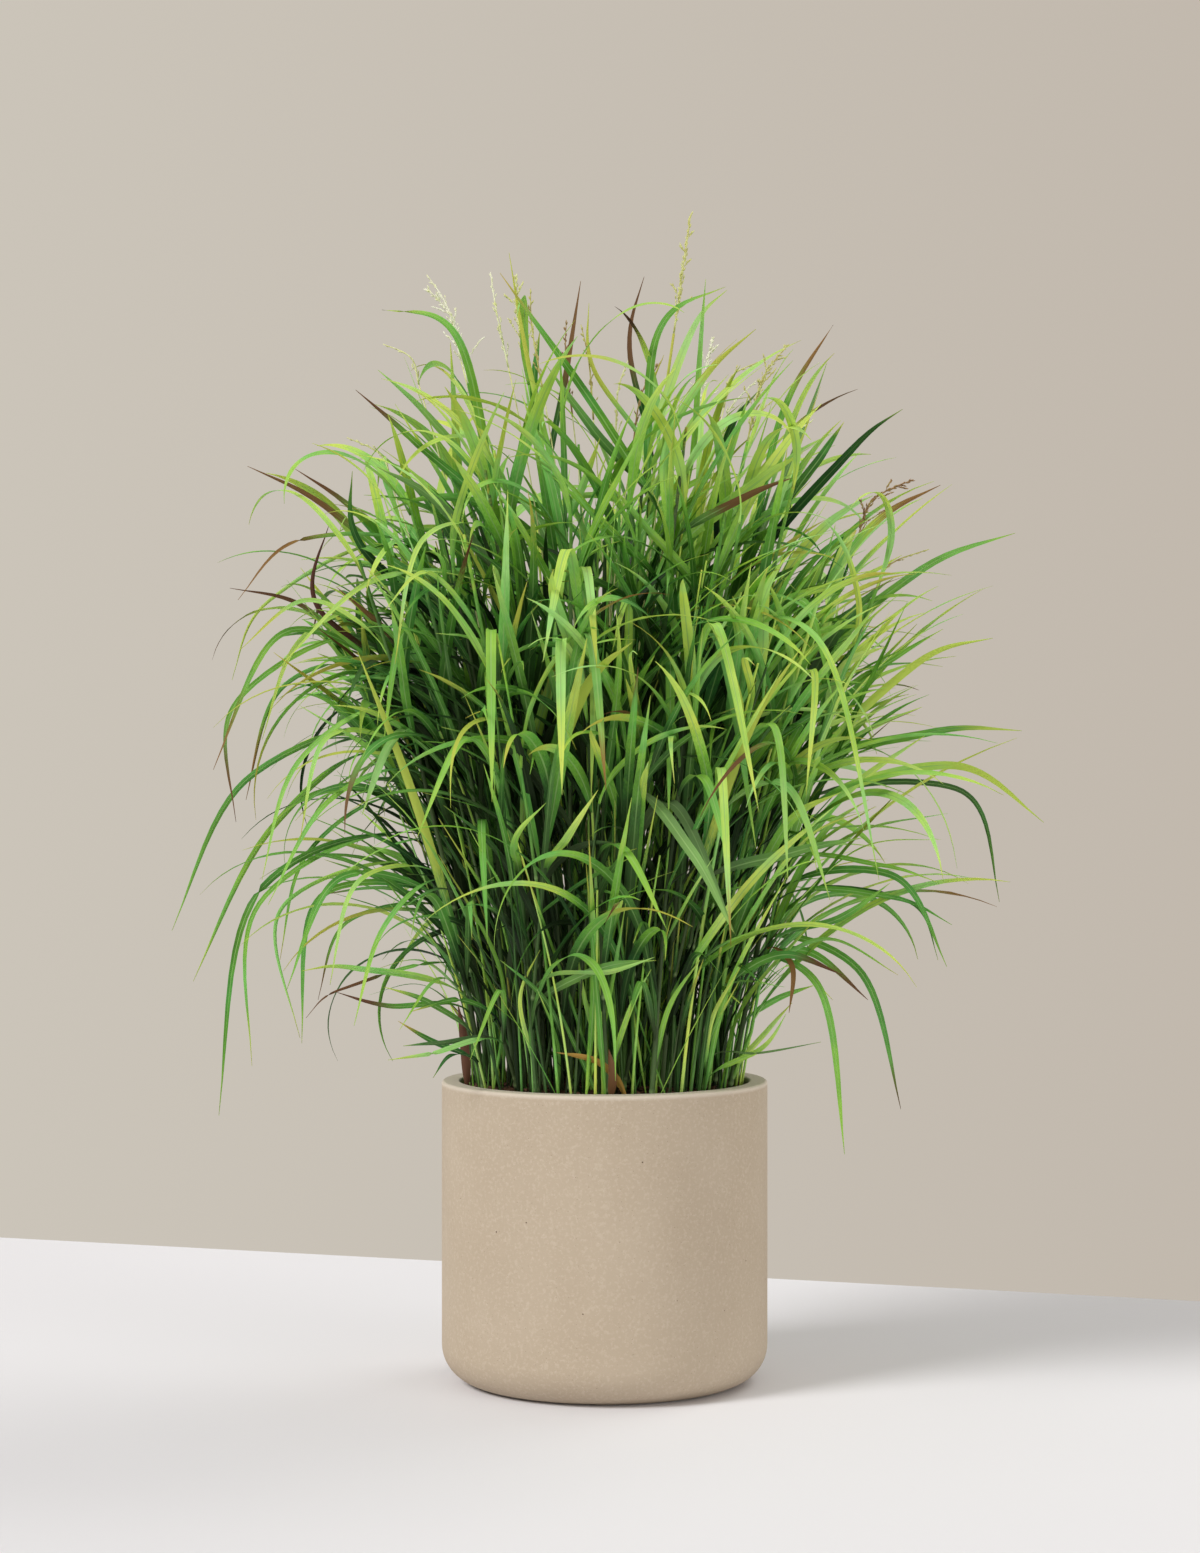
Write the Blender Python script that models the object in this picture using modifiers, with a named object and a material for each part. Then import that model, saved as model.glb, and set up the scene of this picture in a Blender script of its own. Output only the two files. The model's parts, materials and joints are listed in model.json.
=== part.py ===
"""Switchgrass growing in a plain round pot.

Metres, +Z up. The origin is the centre of the pot's flat base, +X is the plant's right and -Y its
front. The pot is one turned shell, and the soil fills it. Each leafy stem, with the side shoot at
its foot and the blades of both, is one solid that stands in a plain hole in the soil. The flower
heads are paler, so each is a solid of its own on the tip of its stem, and three dead leaves stand
at the foot of the clump.
"""

import math
import random
from types import SimpleNamespace

import bmesh
import bpy
import numpy as np
from mathutils import Matrix, Vector
from mathutils.bvhtree import BVHTree

# Pot and soil
POT_RADIUS = 0.175
POT_HEIGHT = 0.322
POT_WALL = 0.020
POT_FLOOR = 0.024
FOOT_ROUND = 0.040
FOOT_ROUND_STEPS = 4
RIM_ROUND = 0.003
INNER_ROUND = 0.020
SEAT_GAP = 0.0003
SOIL_DROP = 0.009
SOIL_DOME = 0.008
TURN_STEPS = 36
HOLE_SIDES = 4
HOLE_MARGIN = 0.010
STEM_DEPTH = 0.028

# The clump: stems stand on a spiral over the soil, and the outer ones lean out and end lower
STEM_COUNT = 48
STEM_RING = 0.142
STEM_TOP = 1.035
STEM_TOP_DROP = 0.19
STEM_TOP_JITTER = (-0.050, 0.035)
STEM_MIDDLE = 0.020
STEM_SPREAD = 0.275
STEM_SPREAD_JITTER = 0.020
STEM_FOOT_JITTER = 0.004
STEM_TURN_JITTER = 0.16
STEM_BEND = math.radians(16)
STEM_BEND_RANGE = (0.6, 1.2)
STEM_POINTS = 20
STEM_STATIONS = (0, 7, 14, 20)
STEM_RADIUS = 0.0023
STEM_TIP_RADIUS = 0.0014
STEM_SPACING = 0.0085
SPACING_SAMPLES = 80
GOLDEN_ANGLE = math.pi * (3 - math.sqrt(5))

# Side shoots, at the feet of the outer stems
SHOOT_FROM_REACH = 0.6
SHOOT_RADIUS = 0.0017
SHOOT_STATIONS = (0, 3, 11, 20)
SHOOT_OFFSET = 0.016
SHOOT_START = 0.015
SHOOT_JOINED_POINTS = 3
SHOOT_HEIGHT_RANGE = (0.55, 0.85)
SHOOT_SIDE_TURN = 1.9
SHOOT_TIP_TURN = 0.3

# Blades, with angles in degrees
BLADE_POINTS = 24
BLADE_KEEL = 0.0012
BLADE_CLEARANCE = 0.0006
BLADE_TURN_PER_STATION = math.radians(40)
BLADE_LENGTH = (0.23, 0.43)
BLADE_WIDTH = (0.0075, 0.0130)
BLADE_OPENING = (9, 26)
BLADE_SIDE_TURN = 1.7
BLADE_MIDDLE_TURN = 1.6
BLADE_DROOP = (12, 70)
BLADE_DROOP_POWER = (0.9, 2.0)
LOW_DROOP = 38
LEFT_DROOP = 25
FOLDED_DROOP = 62
FOLDED_SHARE = 0.14
BLADE_DRIFT = 0.35
BLADE_ROLL = 40
LOWEST_BLADE = 0.085
BLADE_SPACING = 0.150
BLADE_SHARE_JITTER = 0.03
TOP_BLADE_SHARE = 0.985
RIM_CLEARANCE = 0.005
TRIES = 30
KEY_TRIES = 60
KEY_LOOSENING = 0.0012

# The crown's outline: an oval seen from above, domed over its middle height
CROWN_X = 0.460
CROWN_Y = 0.425
CROWN_Z = 0.600
CROWN_MIDDLE = 0.620

# Flower heads: where each one's stem ends (x, y, z), the head's length, and its lean to the right
FLOWER_HEADS = (
    (0.074, -0.020, 1.122, 0.150, 0.00),
    (-0.145, -0.050, 1.065, 0.125, -0.35),
    (-0.085, 0.020, 1.090, 0.120, 0.10),
    (0.100, 0.060, 1.030, 0.120, 0.05),
    (0.150, -0.080, 1.000, 0.125, 0.30),
    (0.270, -0.020, 0.900, 0.090, 0.80),
)
HEAD_FOOT_SHARE = 0.42
HEAD_FOOT_REACH = 0.024
HEAD_POINTS = 12
HEAD_STATIONS = (0, 4, 8, 12)
HEAD_RADII = (0.0011, 0.0009, 0.0008, 0.0005)
HEAD_BRANCHES = 7
HEAD_BRANCH_SHARES = (0.18, 0.92)
BRANCH_LENGTH = 0.33
BRANCH_OPENING = (22, 42)
BRANCH_RADIUS = 0.0005
SPIKELET_RADIUS = 0.0011
SPIKELET_SHARE = 0.86

# Blades whose places show most, as (x, y, z): near which point of a stem each starts, where it
# bends and where it ends, and its width
KEY_BLADES = (
    ((-0.010, -0.02, 0.930), (0.062, -0.03, 1.112), (0.130, -0.04, 1.174), 0.0095),
    ((0.000, 0.02, 0.960), (0.027, 0.02, 1.110), (0.043, 0.03, 1.191), 0.0065),
    ((-0.048, 0.03, 0.940), (-0.041, 0.03, 1.090), (-0.026, 0.04, 1.188), 0.0070),
    ((-0.060, -0.04, 0.930), (-0.158, -0.06, 1.105), (-0.233, -0.08, 1.136), 0.0100),
    ((-0.040, -0.06, 0.900), (-0.080, -0.09, 1.080), (-0.100, -0.10, 1.195), 0.0060),
    ((-0.130, -0.06, 0.880), (-0.200, -0.08, 1.000), (-0.261, -0.09, 1.053), 0.0080),
    ((-0.190, -0.02, 0.820), (-0.290, -0.03, 0.930), (-0.380, -0.04, 0.978), 0.0080),
    ((-0.180, 0.04, 0.800), (-0.265, 0.05, 0.930), (-0.339, 0.06, 0.985), 0.0080),
    ((-0.230, -0.04, 0.740), (-0.305, -0.06, 0.830), (-0.290, -0.07, 0.915), 0.0060),
    ((-0.220, 0.02, 0.740), (-0.320, 0.02, 0.828), (-0.406, 0.02, 0.852), 0.0060),
    ((-0.210, -0.08, 0.780), (-0.255, -0.11, 0.890), (-0.262, -0.12, 0.965), 0.0095),
    ((-0.200, 0.00, 0.680), (-0.378, -0.01, 0.650), (-0.463, -0.02, 0.483), 0.0070),
    ((-0.210, 0.05, 0.660), (-0.362, 0.06, 0.595), (-0.452, 0.07, 0.423), 0.0070),
    ((-0.190, -0.06, 0.570), (-0.360, -0.09, 0.530), (-0.403, -0.10, 0.294), 0.0075),
    ((-0.180, 0.02, 0.500), (-0.305, 0.02, 0.520), (-0.328, 0.02, 0.359), 0.0070),
    ((-0.190, -0.05, 0.740), (-0.335, -0.08, 0.800), (-0.409, -0.10, 0.655), 0.0070),
    ((-0.170, -0.09, 0.500), (-0.270, -0.14, 0.545), (-0.325, -0.17, 0.430), 0.0080),
    ((0.080, -0.04, 0.860), (0.125, -0.06, 1.000), (0.164, -0.07, 1.057), 0.0115),
    ((0.140, -0.02, 0.880), (0.198, -0.02, 1.030), (0.246, -0.03, 1.134), 0.0080),
    ((0.150, 0.03, 0.870), (0.210, 0.04, 1.010), (0.243, 0.05, 1.100), 0.0070),
    ((0.180, -0.05, 0.850), (0.258, -0.07, 0.990), (0.313, -0.08, 1.034), 0.0105),
    ((0.190, -0.03, 0.780), (0.280, -0.04, 0.910), (0.356, -0.05, 0.957), 0.0100),
    ((0.220, 0.00, 0.760), (0.340, 0.00, 0.870), (0.442, 0.00, 0.910), 0.0095),
    ((0.200, -0.06, 0.660), (0.325, -0.09, 0.765), (0.404, -0.11, 0.792), 0.0095),
    ((0.200, 0.03, 0.600), (0.350, 0.04, 0.695), (0.456, 0.05, 0.698), 0.0100),
    ((0.210, -0.02, 0.600), (0.365, -0.03, 0.660), (0.467, -0.04, 0.599), 0.0100),
    ((0.220, 0.05, 0.590), (0.385, 0.06, 0.635), (0.434, 0.07, 0.510), 0.0070),
    ((0.180, -0.06, 0.520), (0.300, -0.09, 0.545), (0.356, -0.11, 0.450), 0.0080),
    ((0.145, -0.07, 0.440), (0.222, -0.11, 0.430), (0.248, -0.13, 0.257), 0.0080),
    ((0.150, -0.02, 0.450), (0.268, -0.03, 0.445), (0.315, -0.04, 0.294), 0.0080),
    ((-0.010, -0.11, 0.700), (-0.036, -0.17, 0.872), (-0.055, -0.20, 0.720), 0.0110),
    ((-0.060, -0.10, 0.620), (-0.018, -0.18, 0.785), (-0.014, -0.21, 0.625), 0.0110),
    ((-0.090, -0.10, 0.640), (-0.116, -0.17, 0.785), (-0.111, -0.21, 0.630), 0.0100),
    ((0.070, -0.11, 0.640), (0.110, -0.18, 0.795), (0.152, -0.22, 0.575), 0.0110),
    ((0.050, -0.11, 0.610), (0.066, -0.18, 0.770), (0.064, -0.21, 0.600), 0.0110),
    ((-0.100, -0.11, 0.480), (-0.125, -0.19, 0.605), (-0.118, -0.22, 0.480), 0.0090),
    ((0.030, -0.12, 0.560), (0.070, -0.18, 0.620), (0.130, -0.22, 0.490), 0.0120),
    ((-0.080, -0.12, 0.400), (-0.010, -0.17, 0.450), (0.052, -0.20, 0.462), 0.0095),
    ((0.140, -0.09, 0.700), (0.200, -0.13, 0.830), (0.235, -0.16, 0.720), 0.0090),
    ((-0.140, -0.09, 0.660), (-0.200, -0.15, 0.800), (-0.225, -0.19, 0.680), 0.0090),
)
KEY_ROLL = 30
KEY_ROLL_LEFT = 0.3

# Dead leaves: the foot on the soil, the bend, the tip, the width and the roll in degrees
DEAD_LEAVES = (
    ("withered_sheath", (-0.147, -0.030), (-0.150, -0.036, 0.365), (-0.156, -0.045, 0.407), 0.0110, 10),
    ("dry_leaf", (0.022, -0.136), (-0.004, -0.143, 0.352), (-0.050, -0.147, 0.364), 0.0095, 50),
    ("dry_sheath", (0.006, -0.141), (0.008, -0.146, 0.340), (0.004, -0.150, 0.368), 0.0090, 10),
)
DEAD_LEAF_DEPTH = 0.014
DEAD_ROOT_WIDTH = 0.0024
DEAD_LEAF_STATIONS = (0, 1, 5, 11, 16, 20, 25)

# Colour and roughness of each material
COLOURS = {
    "pot_stone": ((0.52, 0.43, 0.32), 0.88),
    "potting_soil": ((0.045, 0.026, 0.014), 0.95),
    "blue_green": ((0.060, 0.165, 0.060), 0.45),
    "mid_green": ((0.105, 0.235, 0.050), 0.45),
    "yellow_green": ((0.190, 0.340, 0.060), 0.45),
    "pale_straw": ((0.600, 0.600, 0.330), 0.60),
    "dead_brown": ((0.130, 0.050, 0.028), 0.70),
    "dry_orange": ((0.540, 0.240, 0.060), 0.65),
}
STEM_COLOURS = ("mid_green", "blue_green", "mid_green", "yellow_green")
SEED = 11

UP = Vector((0, 0, 1))
SOIL_EDGE_Z = POT_HEIGHT - SOIL_DROP
SOIL_RADIUS = POT_RADIUS - POT_WALL - SEAT_GAP


# Lines

def direction(azimuth, lean):
    """The unit vector that leans this far from the vertical towards an azimuth."""
    flat = Vector((math.cos(azimuth), math.sin(azimuth), 0))
    return flat * math.sin(lean) + UP * math.cos(lean)


def level(azimuth):
    return direction(azimuth, math.pi / 2)


def smooth_step(share):
    share = min(max(share, 0), 1)
    return share * share * (3 - 2 * share)


def point_on(line, share):
    """The point at this share of a line of even steps."""
    at = min(max(share, 0), 1) * (len(line) - 1)
    i = min(int(at), len(line) - 2)
    return line[i].lerp(line[i + 1], at - i)


def tangent_at(line, i):
    return (line[min(i + 1, len(line) - 1)] - line[max(i - 1, 0)]).normalized()


def tangent_on(line, share):
    return tangent_at(line, min(round(share * (len(line) - 1)), len(line) - 2))


def line_length(line):
    return sum((b - a).length for a, b in zip(line, line[1:]))


def even_line(line, count):
    """The line again, in this many equal steps."""
    lengths = [0.0]
    for a, b in zip(line, line[1:]):
        lengths.append(lengths[-1] + (b - a).length)
    made, at = [], 0
    for k in range(count + 1):
        want = lengths[-1] * k / count
        while at < len(line) - 2 and lengths[at + 1] < want:
            at += 1
        share = (want - lengths[at]) / (lengths[at + 1] - lengths[at])
        made.append(line[at].lerp(line[at + 1], share))
    return made


def bent_line(start, bend, tip, first_tangent, count):
    """A smooth line from start to tip that leaves along first_tangent and passes through the bend."""
    first = first_tangent.normalized() * (bend - start).length
    middle = (tip - start) * 0.5
    last = (tip - bend) * 1.2 - middle * 0.2
    line = [start.copy()]
    for p, m, q, n in ((start, first, bend, middle), (bend, middle, tip, last)):
        for k in range(1, count + 1):
            t = k / count
            line.append(
                p * (2 * t**3 - 3 * t**2 + 1)
                + m * (t**3 - 2 * t**2 + t)
                + q * (3 * t**2 - 2 * t**3)
                + n * (t**3 - t**2)
            )
    return even_line(line, count)


# Stems

def on_soil(x, y):
    """The point of the domed soil at this place."""
    return Vector((x, y, SOIL_EDGE_Z + SOIL_DOME * (1 - (x * x + y * y) / SOIL_RADIUS**2)))


def arc_line(foot, tip, bend):
    """An arc from foot to tip that leans further out as it rises."""
    chord = tip - foot
    azimuth = math.atan2(chord.y, chord.x)
    lean = math.atan2(chord.xy.length, chord.z) - bend / 2
    step = chord.length * (bend / 2) / math.sin(bend / 2) / STEM_POINTS
    line = [foot.copy()]
    for i in range(STEM_POINTS):
        line.append(line[-1] + direction(azimuth, lean + bend * (i + 0.5) / STEM_POINTS) * step)
    return line


def chorded(line, stations):
    """The line drawn straight between its stations, as the tubes are, so that roots lie inside them."""
    made = []
    for i in range(len(line)):
        before = max(s for s in stations if s <= i)
        after = min(s for s in stations if s >= i)
        share = (i - before) / (after - before) if after > before else 0
        made.append(line[before].lerp(line[after], share))
    return made


def shoot_line(stem_line, side, tip):
    """A side shoot: it leaves the stem just above the soil and soon stands beside it."""
    own = arc_line(stem_line[0] + level(side) * SHOOT_OFFSET, tip, STEM_BEND)
    reach = line_length(own) / line_length(stem_line)
    line = []
    for i, point in enumerate(own):
        on_stem = point_on(stem_line, SHOOT_START + reach * i / STEM_POINTS)
        line.append(on_stem.lerp(point, smooth_step(i / SHOOT_JOINED_POINTS)))
    return chorded(line, SHOOT_STATIONS)


def crown_tip(azimuth, reach, draw):
    """Where a stem of the clump ends."""
    out = STEM_MIDDLE + STEM_SPREAD * reach + draw.uniform(-STEM_SPREAD_JITTER, STEM_SPREAD_JITTER)
    height = STEM_TOP - STEM_TOP_DROP * reach**2 + draw.uniform(*STEM_TOP_JITTER)
    return level(azimuth + draw.gauss(0, STEM_TURN_JITTER)) * out + UP * height


def gap_between(line, others):
    """The least distance between samples of a line and of the others."""
    if not others:
        return math.inf
    shares = [k / SPACING_SAMPLES for k in range(SPACING_SAMPLES + 1)]
    ours = np.array([point_on(line, share) for share in shares])
    theirs = np.array([point_on(other, share) for other in others for share in shares])
    return float(np.linalg.norm(ours[:, None] - theirs[None], axis=2).min())


def flower_over(foot, taken):
    """The number of the free flower head that belongs over this foot, or None."""
    for number, (x, y, *_) in enumerate(FLOWER_HEADS):
        over = Vector((x, y)) * HEAD_FOOT_SHARE
        if number not in taken and (over - foot.xy).length < HEAD_FOOT_REACH:
            return number
    return None


def new_stem(line, radius, stations, flower, reach):
    return SimpleNamespace(
        line=line, radius=radius, stations=stations, flower=flower, reach=reach, shoot=None, blades=[]
    )


def make_stems(draw):
    """The stems on their spiral, each tried until it stands clear of the others."""
    stems, lines = [], []
    for number in range(STEM_COUNT):
        reach = math.sqrt((number + 0.5) / STEM_COUNT)
        azimuth = number * GOLDEN_ANGLE
        spot = level(azimuth) * (STEM_RING * reach)
        flower = flower_over(spot, [stem.flower for stem in stems])
        for _ in range(TRIES):
            foot = on_soil(
                spot.x + draw.uniform(-STEM_FOOT_JITTER, STEM_FOOT_JITTER),
                spot.y + draw.uniform(-STEM_FOOT_JITTER, STEM_FOOT_JITTER),
            )
            tip = crown_tip(azimuth, reach, draw)
            if flower is not None:
                tip = Vector(FLOWER_HEADS[flower][:3])
            line = arc_line(foot, tip, STEM_BEND * draw.uniform(*STEM_BEND_RANGE))
            line = chorded(line, STEM_STATIONS)
            if gap_between(line, lines) > STEM_SPACING:
                stems.append(new_stem(line, STEM_RADIUS, STEM_STATIONS, flower, reach))
                lines.append(line)
                break
    add_shoots(stems, lines, draw)
    return stems


def add_shoots(stems, lines, draw):
    """A side shoot at the foot of each outer stem, where it finds room."""
    for stem in stems:
        if stem.reach < SHOOT_FROM_REACH:
            continue
        foot = stem.line[0]
        azimuth = math.atan2(foot.y, foot.x)
        for _ in range(TRIES):
            turned = azimuth + draw.uniform(-SHOOT_TIP_TURN, SHOOT_TIP_TURN)
            tip = foot.lerp(crown_tip(turned, stem.reach, draw), draw.uniform(*SHOOT_HEIGHT_RANGE))
            side = azimuth + math.pi / 2 + draw.uniform(-SHOOT_SIDE_TURN, SHOOT_SIDE_TURN)
            line = shoot_line(stem.line, side, tip)
            others = [other for other in lines if other is not stem.line]
            free = line[SHOOT_JOINED_POINTS:]
            if min(gap_between(line, others), gap_between(free, [stem.line])) > STEM_SPACING:
                stem.shoot = new_stem(line, SHOOT_RADIUS, SHOOT_STATIONS, None, stem.reach)
                lines.append(line)
                break


def leafy_parts(stems):
    """Each stem, and each shoot after its stem."""
    for stem in stems:
        yield stem
        if stem.shoot is not None:
            yield stem.shoot


# Blades

def blade_width(share):
    """Width along a blade as a share of its widest: a narrow collar, a long even middle, a fine tip."""
    collar = min(1, 0.28 + share * 3)
    return collar * (1 - max(0, (share - 0.35) / 0.65) ** 1.8)


def stations_of(line):
    """Which of a blade's points get a cross-section: more of them, and closer, where it bends more."""
    turns = [0] + [(b - a).angle(c - b) for a, b, c in zip(line, line[1:], line[2:])] + [0]
    count = 2 + min(4, round(sum(turns) / BLADE_TURN_PER_STATION))
    weights = [
        i / BLADE_POINTS + sum(turns[: i + 1]) / BLADE_TURN_PER_STATION / 2
        for i in range(1, BLADE_POINTS + 1)
    ]
    stations = [0, 1]
    for k in range(1, count):
        want = weights[0] + (weights[-1] - weights[0]) * k / count
        at = 1 + sum(weight < want for weight in weights)
        stations.append(max(at, stations[-1] + 1))
    return stations + [BLADE_POINTS]


def blade_on(line, across, roll_start, roll_end, width):
    """A blade on a centre line. across is its width's direction before it rolls about the line."""
    sides = []
    for i in range(len(line)):
        tangent = tangent_at(line, i)
        side = (across - tangent * across.dot(tangent)).normalized()
        roll = roll_start + (roll_end - roll_start) * i / (len(line) - 1)
        sides.append(Matrix.Rotation(roll, 3, tangent) @ side)
    widths = [width * blade_width(i / (len(line) - 1)) for i in range(len(line))]
    return SimpleNamespace(line=line, sides=sides, widths=widths, stations=stations_of(line))


def blade_shell(blade, extra=0.0, start=1):
    """Corners and faces of a blade: flat above and keeled below, from a point in the stem to a point.

    extra grows it on every side, to test the room round it, and start leaves out its first sections.
    """
    corners, faces = [blade.line[blade.stations[start - 1]].copy()], []
    for i in blade.stations[start:-1]:
        side = blade.sides[i]
        above = side.cross(tangent_at(blade.line, i)).normalized()
        half = side * (blade.widths[i] / 2 + extra * 2)
        corners.append(blade.line[i] - half + above * extra)
        corners.append(blade.line[i] + half + above * extra)
        corners.append(blade.line[i] - above * (BLADE_KEEL + extra * 2))
    corners.append(blade.line[-1] + tangent_at(blade.line, len(blade.line) - 1) * extra)
    last = len(corners) - 1
    for k in range(3):
        a, b = k, (k + 1) % 3
        faces.append((0, 1 + b, 1 + a))
        for ring in range(1, last - 3, 3):
            faces.append((ring + a, ring + 3 + b, ring + 3 + a))
            faces.append((ring + a, ring + b, ring + 3 + b))
        faces.append((last - 3 + a, last - 3 + b, last))
    return corners, faces


def crosses_itself(corners, faces):
    tree = BVHTree.FromPolygons(corners, faces)
    return any(set(faces[a]).isdisjoint(faces[b]) for a, b in tree.overlap(tree))


def draw_blade(stem, share, hand, draw):
    """A blade of a stem: it rises beside the stem, on the side that hand gives, and arches over."""
    root = point_on(stem.line, share)
    tangent = tangent_on(stem.line, share)
    middle = 1 - min(1, root.xy.length / STEM_RING)
    turn = draw.uniform(0, BLADE_SIDE_TURN) + middle * draw.uniform(0, BLADE_MIDDLE_TURN)
    azimuth = math.atan2(root.y, root.x) + hand * turn
    away = level(azimuth)
    away = (away - tangent * away.dot(tangent)).normalized()
    opening = math.radians(draw.uniform(*BLADE_OPENING))
    first = tangent * math.cos(opening) + away * math.sin(opening)
    lean = math.acos(first.z)
    turned = math.atan2(first.y, first.x)
    swing = (azimuth - turned + math.pi) % math.tau - math.pi
    droop = draw.uniform(*BLADE_DROOP) + (1 - share) * LOW_DROOP
    droop += max(0, -math.cos(azimuth)) * LEFT_DROOP
    if draw.random() < FOLDED_SHARE:
        droop += FOLDED_DROOP
    middle_length = 0.62 + 0.5 * math.sin(math.pi * min(share + 0.2, 0.95))
    step = draw.uniform(*BLADE_LENGTH) * middle_length / BLADE_POINTS
    drift = draw.gauss(0, BLADE_DRIFT)
    power = draw.uniform(*BLADE_DROOP_POWER)
    line = [root.copy()]
    for i in range(BLADE_POINTS):
        t = (i + 0.5) / BLADE_POINTS
        now = turned + swing * 0.8 * smooth_step(t * 2.5) + drift * t * t
        line.append(line[-1] + direction(now, lean + math.radians(droop) * t**power) * step)
    roll = math.radians(draw.uniform(-BLADE_ROLL, BLADE_ROLL))
    twist = math.radians(draw.uniform(-BLADE_ROLL, BLADE_ROLL))
    return blade_on(line, level(azimuth + math.pi / 2), roll, roll + twist, draw.uniform(*BLADE_WIDTH))


def draw_key_blade(stem, share, bend, tip, width, loose, draw):
    """A blade of KEY_BLADES, its bend and tip moved by up to loose, and twice that in depth."""
    share = min(TOP_BLADE_SHARE, share + draw.uniform(-BLADE_SHARE_JITTER, BLADE_SHARE_JITTER))
    start = point_on(stem.line, share)
    bend = Vector(bend) + Vector((draw.uniform(-loose, loose), draw.uniform(-loose, loose) * 2, 0))
    tip = Vector(tip) + Vector((0, draw.uniform(-loose, loose) * 2, 0))
    first = tangent_on(stem.line, share) + (bend - start).normalized() * 0.8
    away = (tip - start).xy.normalized()
    roll = math.radians(draw.uniform(-KEY_ROLL, KEY_ROLL))
    line = bent_line(start, bend, tip, first, BLADE_POINTS)
    return blade_on(line, Vector((-away.y, away.x, 0)), roll, roll * KEY_ROLL_LEFT, width)


def in_crown(point):
    rise = max(0, (point.z - CROWN_MIDDLE) / CROWN_Z)
    return (point.x / CROWN_X) ** 2 + (point.y / CROWN_Y) ** 2 + rise**2 < 1


def over_pot(point):
    return point.xy.length < POT_RADIUS + RIM_CLEARANCE and point.z < POT_HEIGHT + RIM_CLEARANCE


class Room:
    """Everything that is placed, so that each new blade can be tested for a clear way."""

    def __init__(self):
        self.trees, self.owners, self.lows, self.highs = [], [], [], []

    def add(self, corners, faces, owner):
        self.trees.append(BVHTree.FromPolygons(corners, faces))
        self.owners.append(owner)
        self.lows.append(np.min(corners, axis=0))
        self.highs.append(np.max(corners, axis=0))

    def takes(self, blade, stem):
        """Adds a blade that touches nothing but its own stem at its root, and says whether it did."""
        if any(map(over_pot, blade.line)) or crosses_itself(*blade_shell(blade)):
            return False
        corners, faces = blade_shell(blade, BLADE_CLEARANCE)
        low, high = np.min(corners, axis=0), np.max(corners, axis=0)
        near = np.all((np.array(self.lows) < high) & (np.array(self.highs) > low), axis=1)
        whole = BVHTree.FromPolygons(corners, faces)
        past_root = BVHTree.FromPolygons(*blade_shell(blade, BLADE_CLEARANCE, start=2))
        for i in np.flatnonzero(near):
            if (past_root if self.owners[i] is stem else whole).overlap(self.trees[i]):
                return False
        stem.blades.append(blade)
        self.add(*blade_shell(blade), blade)
        return True


def place_key_blades(stems, room, draw):
    """The blades of KEY_BLADES, each on the nearest stem, moved a little where its way is not clear."""
    spots = [(part, k / 20) for part in leafy_parts(stems) for k in range(4, 20)]
    for root, bend, tip, width in KEY_BLADES:
        part, share = min(spots, key=lambda spot: (point_on(spot[0].line, spot[1]) - Vector(root)).length)
        for attempt in range(KEY_TRIES):
            loose = KEY_LOOSENING * attempt
            if room.takes(draw_key_blade(part, share, bend, tip, width, loose, draw), part):
                break


def place_blades(stems, room, draw):
    """Blades up each stem and shoot, to one side and the other in turn, where the way is clear."""
    for part in leafy_parts(stems):
        length = line_length(part.line)
        count = int((length - LOWEST_BLADE) / BLADE_SPACING)
        shares = [(LOWEST_BLADE + k * BLADE_SPACING) / length for k in range(count)]
        if part.flower is None:
            shares.append(TOP_BLADE_SHARE)
        hand = draw.choice((-1, 1))
        for share in shares:
            hand = -hand
            for _ in range(TRIES):
                at = share + draw.uniform(-BLADE_SHARE_JITTER, BLADE_SHARE_JITTER)
                blade = draw_blade(part, min(TOP_BLADE_SHARE, at), hand, draw)
                if all(map(in_crown, blade.line)) and room.takes(blade, part):
                    break


# Meshes

def mesh_of(corners, faces):
    mesh = bpy.data.meshes.new("shell")
    mesh.from_pydata(corners, [], faces)
    return mesh


def shell_of(mesh):
    return [v.co.copy() for v in mesh.vertices], [tuple(p.vertices) for p in mesh.polygons]


def tube_mesh(points, radii):
    """A four-sided tube with closed ends through the points."""
    curve = bpy.data.curves.new("tube", "CURVE")
    curve.dimensions = "3D"
    curve.bevel_depth = 1
    curve.bevel_resolution = 0
    curve.use_fill_caps = True
    spline = curve.splines.new("POLY")
    spline.points.add(len(points) - 1)
    for at, point, radius in zip(spline.points, points, radii):
        at.co = (*point, 1)
        at.radius = radius
    guide = bpy.data.objects.new("tube", curve)
    bpy.context.scene.collection.objects.link(guide)
    graph = bpy.context.evaluated_depsgraph_get()
    mesh = bpy.data.meshes.new_from_object(guide.evaluated_get(graph))
    bpy.data.objects.remove(guide)
    bpy.data.curves.remove(curve)
    shape = bmesh.new()
    shape.from_mesh(mesh)
    bmesh.ops.remove_doubles(shape, verts=shape.verts, dist=1e-5)
    bmesh.ops.recalc_face_normals(shape, faces=shape.faces)
    shape.to_mesh(mesh)
    shape.free()
    return mesh


def stem_mesh(stem, depth):
    """The tube of a stem or a shoot, and its straight foot of this depth below its first point."""
    points = [stem.line[i] for i in stem.stations]
    shares = [i / STEM_POINTS for i in stem.stations]
    if depth:
        points.insert(0, stem.line[0] - tangent_at(stem.line, 0) * depth)
        shares.insert(0, 0)
    return tube_mesh(points, [stem.radius + (STEM_TIP_RADIUS - stem.radius) * s for s in shares])


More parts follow.
